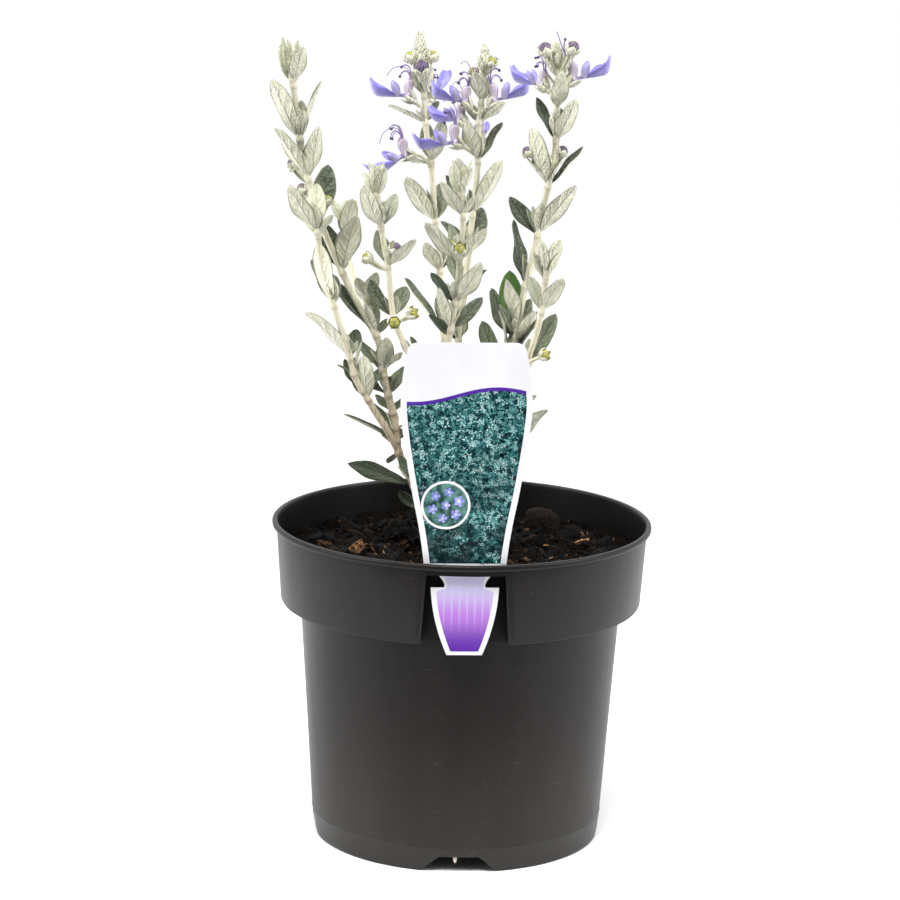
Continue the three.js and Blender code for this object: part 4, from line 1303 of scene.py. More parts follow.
class ScatterTree:
    """A geometry-node tree that scatters pieces over a surface, each stood on it, turned, sized and toned."""

    def __init__(self, name: str) -> None:
        """Builds the tree with its named inputs.

        Args:
            name: The tree's name.
        """
        self.tree = bpy.data.node_groups.new(name, "GeometryNodeTree")
        face = self.tree.interface
        self.sockets = {}
        for title, kind in (("Surface", "Geometry"), ("Pieces", "Collection"), ("Finish", "Material"),
                            ("Density", "Float"), ("Seed", "Int"), ("Smallest", "Float"),
                            ("Largest", "Float"), ("Lowest Turn", "Vector"), ("Highest Turn", "Vector")):
            self.sockets[title] = face.new_socket(title, in_out="INPUT", socket_type=f"NodeSocket{kind}")
        face.new_socket("Scattered", in_out="OUTPUT", socket_type="NodeSocketGeometry")
        self._wire()

    def _wire(self) -> None:
        """Adds and links the nodes."""
        nodes, links = self.tree.nodes, self.tree.links
        given, result = nodes.new("NodeGroupInput"), nodes.new("NodeGroupOutput")
        points = nodes.new("GeometryNodeDistributePointsOnFaces")
        pieces = nodes.new("GeometryNodeCollectionInfo")
        pieces.inputs["Separate Children"].default_value = True
        pieces.inputs["Reset Children"].default_value = True
        place = nodes.new("GeometryNodeInstanceOnPoints")
        place.inputs["Pick Instance"].default_value = True
        turn = nodes.new("FunctionNodeRandomValue")
        turn.data_type = "FLOAT_VECTOR"
        euler, spin = nodes.new("FunctionNodeEulerToRotation"), nodes.new("FunctionNodeRotateRotation")
        spin.rotation_space = "LOCAL"
        size, tone = nodes.new("FunctionNodeRandomValue"), nodes.new("FunctionNodeRandomValue")
        tone.inputs["Seed"].default_value = 7
        keep = nodes.new("GeometryNodeStoreNamedAttribute")
        keep.domain = "INSTANCE"
        keep.inputs["Name"].default_value = "own_tone"
        solid, finish = nodes.new("GeometryNodeRealizeInstances"), nodes.new("GeometryNodeSetMaterial")
        turn_low, turn_high = [s for s in turn.inputs if s.type == "VECTOR"][:2]
        turned = [s for s in turn.outputs if s.type == "VECTOR"][0]
        size_low, size_high = [s for s in size.inputs if s.type == "VALUE"][:2]
        sized = [s for s in size.outputs if s.type == "VALUE"][0]
        toned = [s for s in tone.outputs if s.type == "VALUE"][0]
        value = [s for s in keep.inputs if s.name == "Value" and s.type == "VALUE"][0]
        for start, end in (
                (given.outputs["Surface"], points.inputs["Mesh"]),
                (given.outputs["Density"], points.inputs["Density"]),
                (given.outputs["Seed"], points.inputs["Seed"]),
                (given.outputs["Pieces"], pieces.inputs["Collection"]),
                (given.outputs["Lowest Turn"], turn_low), (given.outputs["Highest Turn"], turn_high),
                (given.outputs["Smallest"], size_low), (given.outputs["Largest"], size_high),
                (given.outputs["Seed"], turn.inputs["Seed"]), (given.outputs["Seed"], size.inputs["Seed"]),
                (points.outputs["Points"], place.inputs["Points"]),
                (pieces.outputs["Instances"], place.inputs["Instance"]),
                (turned, euler.inputs[0]), (points.outputs["Rotation"], spin.inputs[0]),
                (euler.outputs[0], spin.inputs[1]), (spin.outputs[0], place.inputs["Rotation"]),
                (sized, place.inputs["Scale"]),
                (place.outputs["Instances"], keep.inputs["Geometry"]), (toned, value),
                (keep.outputs["Geometry"], solid.inputs["Geometry"]),
                (solid.outputs["Geometry"], finish.inputs["Geometry"]),
                (given.outputs["Finish"], finish.inputs["Material"]),
                (finish.outputs["Geometry"], result.inputs[0])):
            links.new(start, end)

    def scatter(self, name: str, surface: Object, pieces: Sequence[Object], finish: Material, density: float,
                seed: int, sizes: Pair, lean: float) -> Object:
        """Scatters pieces over a surface and returns the result as one plain mesh object.

        Args:
            name: The new object's name.
            surface: What the pieces lie on; only its mesh is read.
            pieces: The shapes to place.
            finish: Their material.
            density: How many lie on a square metre.
            seed: What fixes the random numbers.
            sizes: The smallest and the largest scale of a shape.
            lean: How far one may lean to each side, in radians.

        Returns:
            The scattered pieces.
        """
        group = bpy.data.collections.new(f"{name}_shapes")
        for piece in pieces:
            group.objects.link(piece)
        carrier = put(name, surface.data.copy())
        modifier = carrier.modifiers.new("scatter", "NODES")
        modifier.node_group = self.tree
        for title, value in (("Pieces", group), ("Finish", finish), ("Density", density), ("Seed", seed),
                             ("Smallest", sizes[0]), ("Largest", sizes[1]),
                             ("Lowest Turn", (0.0 - lean, 0.0 - lean, 0.0)),
                             ("Highest Turn", (lean, lean, 2 * math.pi))):
            modifier[self.sockets[title].identifier] = value
        settle(carrier)
        bpy.data.collections.remove(group)
        return carrier


@dataclass
class LeafyStem:
    """One stem with its branches, leaf pairs, calyces, buds and blooms."""

    name: str
    branches: tuple[Branch, ...]
    seed: int
    maker: FlowerMaker
    finishes: dict[str, Material]
    tree: ScatterTree
    hairs: float = 350000.0
    foot_share: float = 0.78
    top_share: float = 1.15
    step: float = 0.8
    young_reach: float = 45.0
    dark_below: float = 238.0
    dark_fade: float = 66.0
    least_with_axil: float = 15.0
    slimness: float = 0.42
    axil_leaf: Blade = Blade(LEAF_OUTLINE, fold=0.4, arch=0.02, tip_lift=0.04, wave=0.05, rolled_edge=0.1,
                             columns=7, rows=11)
    bud_leaf: Blade = Blade(LEAF_OUTLINE, fold=0.45, arch=0.06, tip_lift=0.05, wave=0.06, rolled_edge=0.1,
                            columns=11, rows=18)
    bract: Blade = Blade(BRACT_OUTLINE, thickness=0.6, fold=0.6, arch=0.12, tip_lift=0.06, wave=0.04, rows=12)
    sink: MeshSink = field(default_factory=MeshSink)

    def __post_init__(self) -> None:
        """Starts the stem's own random numbers."""
        self.rng = np.random.default_rng(self.seed)

    def build(self) -> None:
        """Builds the stem and what sits on it."""
        seated = 0
        for branch in self.branches:
            path = Path(branch.route)
            self._rod(path, branch)
            top = max(point[2] for point in branch.route)
            for index, ((height, *first), rolls) in enumerate(zip(branch.leaves, branch.rolls)):
                turn, rise, length = first[:3]
                pair = (turn, rise, length), tuple(first[3:]) or (turn + 180, rise, length * 0.9)
                youth = float(np.clip(1 - (top - height) / self.young_reach, 0, 1))
                base = path.at_height(height)
                for side, (aim, roll) in enumerate(zip(pair, rolls)):
                    self._leaf(base, aim, roll, youth, (index, side) in branch.fresh)
                    self._axil(base, aim)
            for height, *aim in branch.stubs:
                self._stub(path.at_height(height), tuple(aim))
            if branch.spike:
                self._spike(path, branch.spike)
            for row in branch.buds:
                seated += 1
                self._bud(path, row, f"{self.name}_bud_{seated}")
            for row in branch.blooms:
                seated += 1
                self._bloom(path, row, f"{self.name}_bloom_{seated}")
        green = self.sink.build(f"{self.name}_felted", [self.finishes["leaf"], self.finishes["stem"]])
        keep(green, Slot.FOLIAGE, self.name)
        self._fuzz(green)

    def _rod(self, path: Path, branch: Branch) -> None:
        """Adds the stem itself, swollen where its leaf pairs sit.

        Args:
            path: Its route.
            branch: Its radii and leaf pairs.
        """
        count = int(path.length / self.step)
        share = np.linspace(0, 1, count)
        foot, tip = branch.radius
        radii = np.interp(share, [0, 1], [foot * self.foot_share, tip * self.top_share])
        joints = np.zeros(count)
        for row in branch.leaves:
            away = (share - path.share_at_height(row[0])) * path.length
            radii *= 1 + 0.2 * np.exp(-(away / 1.6) ** 2)
            joints = np.maximum(joints, np.exp(-((away + 0.8) / 0.7) ** 2))
        tube(self.sink, path.at(share), radii, (0.5, 0, 0), STEM, 14, 0.05, joints)

    def _fuzz(self, green: Object) -> None:
        """Scatters short felt hairs over the stem, its leaves and its calyces.

        Args:
            green: What they stand on.
        """
        hairs = []
        for lean in (0.2, -0.3, 0.45):
            corners = [(0.03 * math.cos(a), 0.03 * math.sin(a), -0.05) for a in (0, 2.1, 4.2)]
            hairs.append(plain_object("hair", np.array([*corners, (lean, 0.1 * lean, 0.7)]),
                                      [(2, 1, 0), (0, 1, 3), (1, 2, 3), (2, 0, 3)]))
        fuzz = self.tree.scatter(f"{self.name}_felt", green, hairs, self.finishes["felt"], self.hairs,
                                 self.seed, (0.6, 1.2), 0.5)
        for hair in hairs:
            bpy.data.objects.remove(hair)
        keep(fuzz, Slot.FOLIAGE)

    def _stub(self, base: Array, aim: LeafRow) -> None:
        """Adds the stub of a cut side shoot, dark at its cut end.

        Args:
            base: Its root in the stem.
            aim: Its turn, rise and length.
        """
        line = base + np.outer(np.linspace(0, aim[2], 9), pointing(*aim[:2]))
        radii = np.array([1.9, 1.6, 1.4, 1.35, 1.3, 1.3, 1.35, 1.35, 1.2])
        marks = np.array([0, 0, 0, 0, 0.1, 0.3, 0.7, 1, 1])
        tube(self.sink, line, radii, (0.5, 0, 0), STEM, 12, 0.05, marks)

    def _axil(self, base: Array, aim: LeafRow) -> None:
        """Adds the small leaves that sit between a long leaf and the stem.

        Args:
            base: The long leaf's root.
            aim: Its turn, rise and length.
        """
        turn, rise, length = aim
        if length < self.least_with_axil:
            return
        draw = self.rng.uniform
        for hand, steep in ((1, 0.6), (-1, 0.55), (0.2, 0.3)):
            around = turn + hand * draw(24, 60)
            small = length * draw(0.34, 0.58)
            along = pointing(around, rise * steep * draw(0.8, 1.2))
            tone = (draw(0, 1), draw(0.1, 0.7), 0)
            across, width = pointing(around + 90, 90), small * self.slimness
            self.axil_leaf.add(self.sink, base, along, across, small, width, tone, LEAF, draw(0, 6))

    def _leaf(self, base: Array, aim: LeafRow, roll: float, youth: float, fresh: bool) -> None:
        """Adds one leaf, with its own draw of width, fold, arch and twist.

        Args:
            base: Its root in the stem.
            aim: Its turn, rise and length.
            roll: How far it is rolled about its own length, in degrees.
            youth: From 0 for an old leaf to 1 for one at the stem's tip.
            fresh: Whether it is bright green and unfelted.
        """
        turn, rise, length = aim
        draw = self.rng.uniform
        blade = Blade(LEAF_OUTLINE, fold=draw(0.15, 0.5), arch=draw(-0.03, 0.07), tip_lift=draw(-0.05, 0.06),
                      twist=draw(-0.25, 0.25), wave=draw(0.06, 0.18), rolled_edge=0.14, columns=13, rows=26)
        along = pointing(turn, rise)
        level = pointing(turn + 90, 90)
        spin = math.radians(roll)
        across = math.cos(spin) * level - math.sin(spin) * np.cross(along, level)
        width = length * draw(0.35, 0.44)
        low = float(np.clip((self.dark_below - base[2]) / self.dark_fade, 0, 1))
        tone = (draw(0, 1), 0.0 if fresh else youth * 0.8, 2.0 if fresh else low)
        blade.add(self.sink, base, along, across, length, width, tone, LEAF, draw(0, 6))

    def _spike(self, path: Path, spike: tuple[float, int, float, float]) -> None:
        """Adds the felted bracts, in crossed pairs, round a flower stem's top.

        Args:
            path: The stem's route.
            spike: The lowest bracts' height, the count of layers, the bracts' length and their width's share.
        """
        start, layers, length, share = spike
        open_rise, closing, count = (20, 12, 3) if share < 0.4 else (38, 24, 4)
        for layer in range(layers):
            base = path.at_height(start + layer * 1.25)
            rise = open_rise - closing * layer / (layers - 1)
            for k in range(count):
                turn = layer * 47 + k * 360 / count + self.rng.uniform(-8, 8)
                reach = length * (1 - 0.25 * layer / layers) * self.rng.uniform(0.85, 1.05)
                self.bract.add(self.sink, base, pointing(turn, rise), pointing(turn + 90, 90), reach,
                               reach * share * 1.15, (0.9, 0.75, 0), LEAF)

    def _bud(self, path: Path, row: BudRow, name: str) -> None:
        """Adds a calyx, the closed bud in it and, where the bud doesn't point level, a small leaf under it.

        Args:
            path: The stem's route.
            row: The bud.
            name: The bud's node.
        """
        base = path.at_height(row.height)
        axis = pointing(row.turn, row.rise)
        centre = base + axis * row.reach
        lilac = row.tint is Tint.LILAC
        depth = row.radius * (1.75 if lilac else 2.15)
        self.maker.calyx(self.sink, base, centre - axis * (row.radius + 0.5), axis, row.radius, depth, True)
        if row.rise <= 62:
            reach = row.reach * 0.9
            self.bud_leaf.add(self.sink, base, pointing(row.turn, row.rise + 12), pointing(row.turn + 90, 90),
                              reach, reach * self.slimness, (0.5, 0.6, 0), LEAF)
        finish = self.finishes["lilac_bud" if lilac else "green_bud"]
        bud = self.maker.bud(f"{name}_ball", centre, axis, row.radius * 1.08, finish)
        keep(bud, Slot.LILAC_BUD if lilac else Slot.GREEN_BUD, name)

    def _bloom(self, path: Path, row: BloomRow, name: str) -> None:
        """Adds a calyx and the open bloom in it.

        Args:
            path: The stem's route.
            row: The bloom.
            name: The bloom's node.
        """
        height, turn, rise, reach = row.seat
        base = path.at_height(height)
        seat = base + pointing(turn, rise) * (reach - 3)
        axis = pointing(row.facing, 90 - row.pitch - self.maker.tube_lift)
        self.maker.calyx(self.sink, base, seat - axis * 0.4, axis, 1.8, 6.2, False)
        finishes = [self.finishes["petal"], self.finishes["stamen"]]
        keep(self.maker.bloom(f"{name}_corolla", row, seat, finishes, self.rng), Slot.PETALS, name)


class SolidTools:
    """Turned bodies, prisms and cuts for the moulded pot."""

    @staticmethod
    def turned(name: str, profile: Sequence[Pair], segments: int) -> Object:
        """A body turned from a profile of radius and height that starts and ends on the axis.

        Args:
            name: The body's name.
            profile: The points.
            segments: How many sides it has.

        Returns:
            The body.
        """
        inner = profile[1:-1]
        angle = circle(segments) + math.pi / segments
        points = [(r * math.sin(a), -r * math.cos(a), z) for r, z in inner for a in angle]
        points += [(0, 0, profile[0][1]), (0, 0, profile[-1][1])]
        start, end = len(points) - 2, len(points) - 1
        faces = []
        for i in range(len(inner) - 1):
            faces += band(i * segments, (i + 1) * segments, segments)
        last = (len(inner) - 1) * segments
        faces += [(start, (k + 1) % segments, k) for k in range(segments)]
        faces += [(end, last + k, last + (k + 1) % segments) for k in range(segments)]
        body = plain_object(name, np.array(points), faces)
        turn_outwards(body)
        return body

    @staticmethod
    def prism(low_half: float, high_half: float, bottom: float, top: float, near: float,
              far: float) -> Object:
        """A trapezoid prism along Y.

        Args:
            low_half, high_half: Half its width at the bottom and at the top.
            bottom, top: Its heights.
            near, far: Its ends along Y.

        Returns:
            The body.
        """
        section = [(-low_half, bottom), (low_half, bottom), (high_half, top), (-high_half, top)]
        points = [(x, y, z) for y in (near, far) for x, z in section]
        faces = [(0, 1, 2, 3), (7, 6, 5, 4)] + [(k, k + 4, (k + 1) % 4 + 4, (k + 1) % 4) for k in range(4)]
        body = plain_object("prism", np.array(points), faces)
        turn_outwards(body)
        return body

    @staticmethod
    def combine(body: Object, other: Object, operation: str) -> None:
        """Joins or cuts a body by another, which is then removed.

        Args:
            body: What is changed.
            other: What it is changed by.
            operation: UNION, INTERSECT or DIFFERENCE.
        """
        modifier = body.modifiers.new("combine", "BOOLEAN")
        modifier.operation = operation
        modifier.object = other
        modifier.solver = "MANIFOLD"
        settle(body)
        bpy.data.objects.remove(other)


@dataclass
class NurseryPot:
    """The moulded pot with its band, label pocket, foot notches and drain holes."""

    size: PotSize = field(default_factory=PotSize)
    pocket: PocketSize = field(default_factory=PocketSize)
    label: LabelSize = field(default_factory=LabelSize)
    clear_above: float = 300.0
    line_height: float = 11.0
    front_reach: Pair = (-86.0, -60.0)
    notch_halves: Pair = (17.6, 8.7)
    drains: int = 6
    drain_radius: float = 4.0
    drain_ring: float = 46.0
    sharp_angle: float = 38.0

    def outer(self) -> list[Pair]:
        """The outer profile, with rounded edges and a faint moulding line above the foot.

        Returns:
            Points of radius and height, from the foot up.
        """
        s = self.size
        lip = [(s.rim_radius - 0.9 + 0.9 * math.cos(a), s.height - 1.35 + 1.35 * math.sin(a))
               for a in np.linspace(-1.35, 1.5, 9)]
        slope = (s.body_top_radius - s.foot_radius) / s.band_bottom
        line = self.line_height
        ridge = s.foot_radius + slope * line
        foot, body, edge = s.foot_radius, s.body_top_radius, s.band_bottom_radius
        return [(foot - 1.1, 0), (foot - 0.45, 0.25), (foot - 0.1, 0.9), (foot + 0.05, 2.0),
                (ridge - 0.02, line - 0.35), (ridge + 0.2, line), (ridge + 0.04, line + 0.35),
                (body, s.band_bottom - 0.4), (body + 0.4, s.band_bottom), (edge - 1.3, s.band_bottom),
                (edge - 0.5, s.band_bottom + 0.3), (edge, s.band_bottom + 1.3),
                (s.band_top_radius, s.lip_bottom - 0.4), (s.band_top_radius + 0.4, s.lip_bottom), *lip]

    def inner(self) -> list[Pair]:
        """The inner profile, from the rim down to the floor.

        Returns:
            Points of radius and height.
        """
        s = self.size
        return [(s.rim_radius - 2.2, s.height - 0.15), (s.band_top_radius - s.wall, s.lip_bottom),
                (s.band_bottom_radius - s.wall - 1.3, s.band_bottom + s.wall),
                (s.body_top_radius - s.wall, s.band_bottom),
                (s.foot_radius - s.wall, s.floor_under + s.floor_thickness)]

    def block(self, margin: float) -> Object:
        """The pocket's outer block, grown by a margin.

        Args:
            margin: How far it is grown.

        Returns:
            The block.
        """
        s, p = self.size, self.pocket
        grow = s.wall + margin
        return SolidTools.prism(p.bottom_half + grow, p.top_half + grow, s.band_bottom - margin, p.top + grow,
                                *self.front_reach)

    @staticmethod
    def _rod(name: str, radius: float, height: float, segments: int) -> Object:
        """A plain round body that stands on the ground."""
        return SolidTools.turned(name, [(0, 0), (radius, 0), (radius, height), (0, height)], segments)

    def build(self, material: Material) -> None:
        """Builds the pot.

        Args:
            material: Its plastic.
        """
        s, p = self.size, self.pocket
        tools = SolidTools
        outer = self.outer()
        profile = [(0, s.floor_under), (s.foot_radius - s.wall, s.floor_under), (s.foot_radius - 2.4, 0),
                   *outer, *self.inner(), (0, s.floor_under + s.floor_thickness)]
        pot = tools.turned("nursery_pot", profile, s.segments)
        liner = self.block(0)
        envelope = tools.turned("envelope", [(0, 0), *outer, (0, s.height)], s.segments)
        tools.combine(liner, envelope, "INTERSECT")
        tools.combine(liner, self._rod("core", s.body_top_radius, self.clear_above, s.segments), "DIFFERENCE")
        tools.combine(pot, liner, "UNION")
        hollow = tools.prism(p.bottom_half, p.top_half, s.band_bottom - 2, p.top, *self.front_reach)
        panel = self._rod("panel", s.body_top_radius + s.wall, self.clear_above, s.segments)
        tools.combine(hollow, panel, "DIFFERENCE")
        tools.combine(pot, hollow, "DIFFERENCE")
        slot = tools.prism(p.slot_half, p.slot_half, p.top - 1, p.top + 2 * s.wall,
                           self.label.plane - p.slot_depth / 2, self.label.plane + p.slot_depth / 2)
        tools.combine(pot, slot, "DIFFERENCE")
        for k in range(4):
            notch = tools.prism(*self.notch_halves, -0.4, s.floor_under, -86, -58)
            notch.data.transform(Matrix.Rotation(k * math.pi / 2, 4, "Z"))
            tools.combine(pot, notch, "DIFFERENCE")
        for k in range(self.drains):
            drain = self._rod("drain", self.drain_radius, 20, 24)
            drain.data.transform(Matrix.Translation((self.drain_ring * MM, 0, 0)))
            drain.data.transform(Matrix.Rotation(math.radians(30 + k * 360 / self.drains), 4, "Z"))
            tools.combine(pot, drain, "DIFFERENCE")
        pot.data.materials.clear()
        pot.data.materials.append(material)
        pot.data.shade_smooth()
        pot.data.set_sharp_from_angle(angle=math.radians(self.sharp_angle))
        keep(pot, Slot.POT, "pot")


@dataclass
class PottingSoil:
    """The soil with its uneven top, bark chips, fibres and one large lump of bark."""

    level: float = 129.0
    radius: float = 79.4
    relief: float = 1.8
    rings: int = 60
    segments: int = 150
    shoulder: float = 106.8
    ledge: float = 109.4
    top_rings: int = 30
    top_sides: int = 90
    chip_sides: int = 7
    lump_place: Point = (37, 43, 131.0)
    lump_size: Point = (10.5, 7.5, 8.6)
    seed: int = 5

    def height(self, x: Array, y: Array) -> Array:
        """Height of the top at places on it.

        Args:
            x, y: The places.

        Returns:
            The heights.
        """
        waves = np.sin(x * 0.31 + y * 0.12) + np.sin(y * 0.27 - x * 0.17 + 2) + np.sin((x + y) * 0.62)
        crumbs = np.sin(x * 1.9 + 3 * np.sin(y * 0.9)) * np.sin(y * 1.7 + 2 * np.sin(x * 1.1))
        return self.level + self.relief * waves / 2 + 0.7 * crumbs

    def body(self, pot: NurseryPot) -> Object:
        """The solid soil, from the pot's floor to its top, clear of the label pocket.

        Args:
            pot: The pot that holds it.

        Returns:
            The soil, without a material.
        """
        size = pot.size
        angle = circle(self.segments)
        walls = ((size.foot_radius - 2.2, size.floor_under + 2), (size.body_top_radius - 2.2, self.shoulder),
                 (size.band_bottom_radius - 3.4, self.ledge))
        rings = [np.stack([radius * np.cos(angle), radius * np.sin(angle), 0 * angle + level], axis=1)
                 for radius, level in walls]
        for share in np.linspace(1, 0.02, self.rings):
            x, y = self.radius * share * np.cos(angle), self.radius * share * np.sin(angle)
            rings.append(np.stack([x, y, self.height(x, y)], axis=1))
        sink = MeshSink()
        stack = np.array(rings)
        sink.loft(stack, np.zeros_like(stack), (0, 0, 0), 0)
        soil = sink.build("potting_soil", [])
        SolidTools.combine(soil, pot.block(0.3), "DIFFERENCE")
        return soil

    def top(self, margin: float) -> Object:
        """The part of the top that litter lies on, a margin from the wall and clear of the pocket.

        Args:
            margin: Its distance from the wall.

        Returns:
            The surface.
        """
        sides, count = self.top_sides, self.top_rings
        angle = circle(sides)
        rings = []
        for radius in np.linspace(6, self.radius - margin, count):
            x = radius * np.cos(angle)
            y = np.maximum(radius * np.sin(angle), margin - 60 - 0.25 * np.abs(x))
            rings.append(np.stack([x, y, self.height(x, y)], axis=1))
        points = np.concatenate(rings)
        faces = [face for i in range(count - 1) for face in band((i + 1) * sides, i * sides, sides)]
        points[:, 2] -= 0.5
        return plain_object("soil_top", points, faces)

    def chip(self, rng: Generator, size: float) -> Object:
        """One splintered chip of bark, about as long as its size.

        Args:
            rng: Its random numbers.
            size: Its length.

        Returns:
            The chip.
        """
        sides = self.chip_sides
        angle = circle(sides)
        rings = []
        for level in (-1, -0.3, 0.4, 1):
            reach = (1 - 0.35 * level * level) * rng.uniform(0.75, 1.15, sides)
            ring = np.stack([size * 0.5 * level + 0.08 * size * rng.normal(size=sides),
                             0.3 * size * reach * np.cos(angle), 0.16 * size * reach * np.sin(angle)], axis=1)
            rings.append(ring)
        sink = MeshSink()
        stack = np.array(rings)
        sink.loft(stack, np.zeros_like(stack), (0, 0, 0), 0)
        chip = sink.build("bark_chip", [])
        chip.data.polygons.foreach_set("use_smooth", [False] * len(chip.data.polygons))
        return chip

    def fibre(self, rng: Generator, length: float) -> Object:
        """One bent fibre.

        Args:
            rng: Its random numbers.
            length: Its length.

        Returns:
            The fibre.
        """
        middle = rng.uniform(-0.25, 0.25, 2) * length
        route = Path([(-length / 2, 0, 0), (-length / 5, middle[0], 0.8), (length / 6, middle[1], 1.2),
                      (length / 2, 0, 0.2)])
        sink = MeshSink()
        tube(sink, route.at(np.linspace(0, 1, 9)), np.linspace(0.5, 0.2, 9), (0, 0, 0), 0, 5)
        return sink.build("fibre", [])

    def root_tip(self) -> Object:
        """The pale tip of a root that shows in the front notch, under the pot's floor.

        Returns:
            The tip.
        """
        sink = MeshSink()
        route = Path([(-1.2, -60.5, 9.5), (-1.4, -62.2, 7.6), (-1.6, -63.2, 5.8), (-1.5, -63.4, 4.2)])
        radii = np.array([0.9, 0.95, 1, 1, 1, 0.95, 0.85, 0.65, 0.35])
        tube(sink, route.at(np.linspace(0, 1, 9)), radii, (0, 0, 0), 0)
        finish = TintedFinish("root", srgb(232, 226, 210), srgb(206, 194, 168))
        return sink.build("root_tip", [finish.material()])

    def lump(self, material: Material) -> Object:
        """The large rough lump of bark behind, on the right.

        Args:
            material: Its bark.

        Returns:
            The lump.
        """
        rng = np.random.default_rng(self.seed)
        bpy.ops.mesh.primitive_ico_sphere_add(subdivisions=5, radius=1)
        lump = bpy.context.active_object
        lump.name = "bark_lump"
        points = np.array([v.co for v in lump.data.vertices])
        swell = np.ones(len(points))
        for _ in range(14):
            d = unit(rng.normal(size=3))
            swell -= rng.uniform(0.3, 0.55) * np.clip(points @ d - rng.uniform(0.45, 0.75), 0, None)
        x, z = points[:, 0], points[:, 2]
        swell += 0.035 * (np.sin(11 * x + 4 * np.sin(5 * z)) * np.sin(7 * z + 3 * x))
        points = points * swell[:, None] * np.array(self.lump_size) + np.array(self.lump_place)
        lump.data.vertices.foreach_set("co", (points * MM).astype(np.float32).ravel())
        lump.data.update()
        lump.data.materials.append(material)
        lump.data.shade_smooth()
        return lump

    def build(self, pot: NurseryPot, tree: ScatterTree) -> None:
        """Builds the soil and its litter.

        Args:
            pot: The pot that holds it.
            tree: The tree that scatters the litter.
        """
        rng = np.random.default_rng(self.seed)
        soil = self.body(pot)
        soil.data.materials.clear()
        dark = TintedFinish("dark_soil", srgb(19, 14, 11), srgb(5, 4, 3), 900, 0.95, 0.05, relief=1.2)
        soil.data.materials.append(dark.material())
        chips = [self.chip(rng, 1.0) for _ in range(7)]
        fibres = [self.fibre(rng, 14.0) for _ in range(4)]
        bark = LitterFinish("bark", srgb(6, 5, 4), srgb(28, 21, 16), srgb(118, 84, 50), 0.16).material()
        straw = LitterFinish("fibre", srgb(40, 29, 20), srgb(122, 88, 56), srgb(196, 152, 104), 0.35)
        pieces = [soil]
        for name, margin, shapes, finish, density, seed, sizes, lean in (
                ("bark_chips", 8.0, chips, bark, 20000.0, 3, (5.0, 13.0), 0.6),
                ("bark_crumbs", 3.5, chips, bark, 90000.0, 8, (1.6, 4.5), 1.2),
                ("fibres", 11.0, fibres, straw.material(), 2200.0, 4, (0.5, 1.3), 0.3)):
            top = self.top(margin)
            pieces.append(tree.scatter(name, top, shapes, finish, density, seed, sizes, lean))
            bpy.data.objects.remove(top)
        lump_bark = LitterFinish("lump_bark", srgb(26, 19, 16), srgb(70, 50, 43), srgb(112, 84, 72), 0.3)
        pieces += [self.root_tip(), self.lump(lump_bark.material())]
        for shape in (*chips, *fibres):
            bpy.data.objects.remove(shape)
        for piece in pieces:
            keep(piece, Slot.SOIL, "soil" if piece is soil else None)


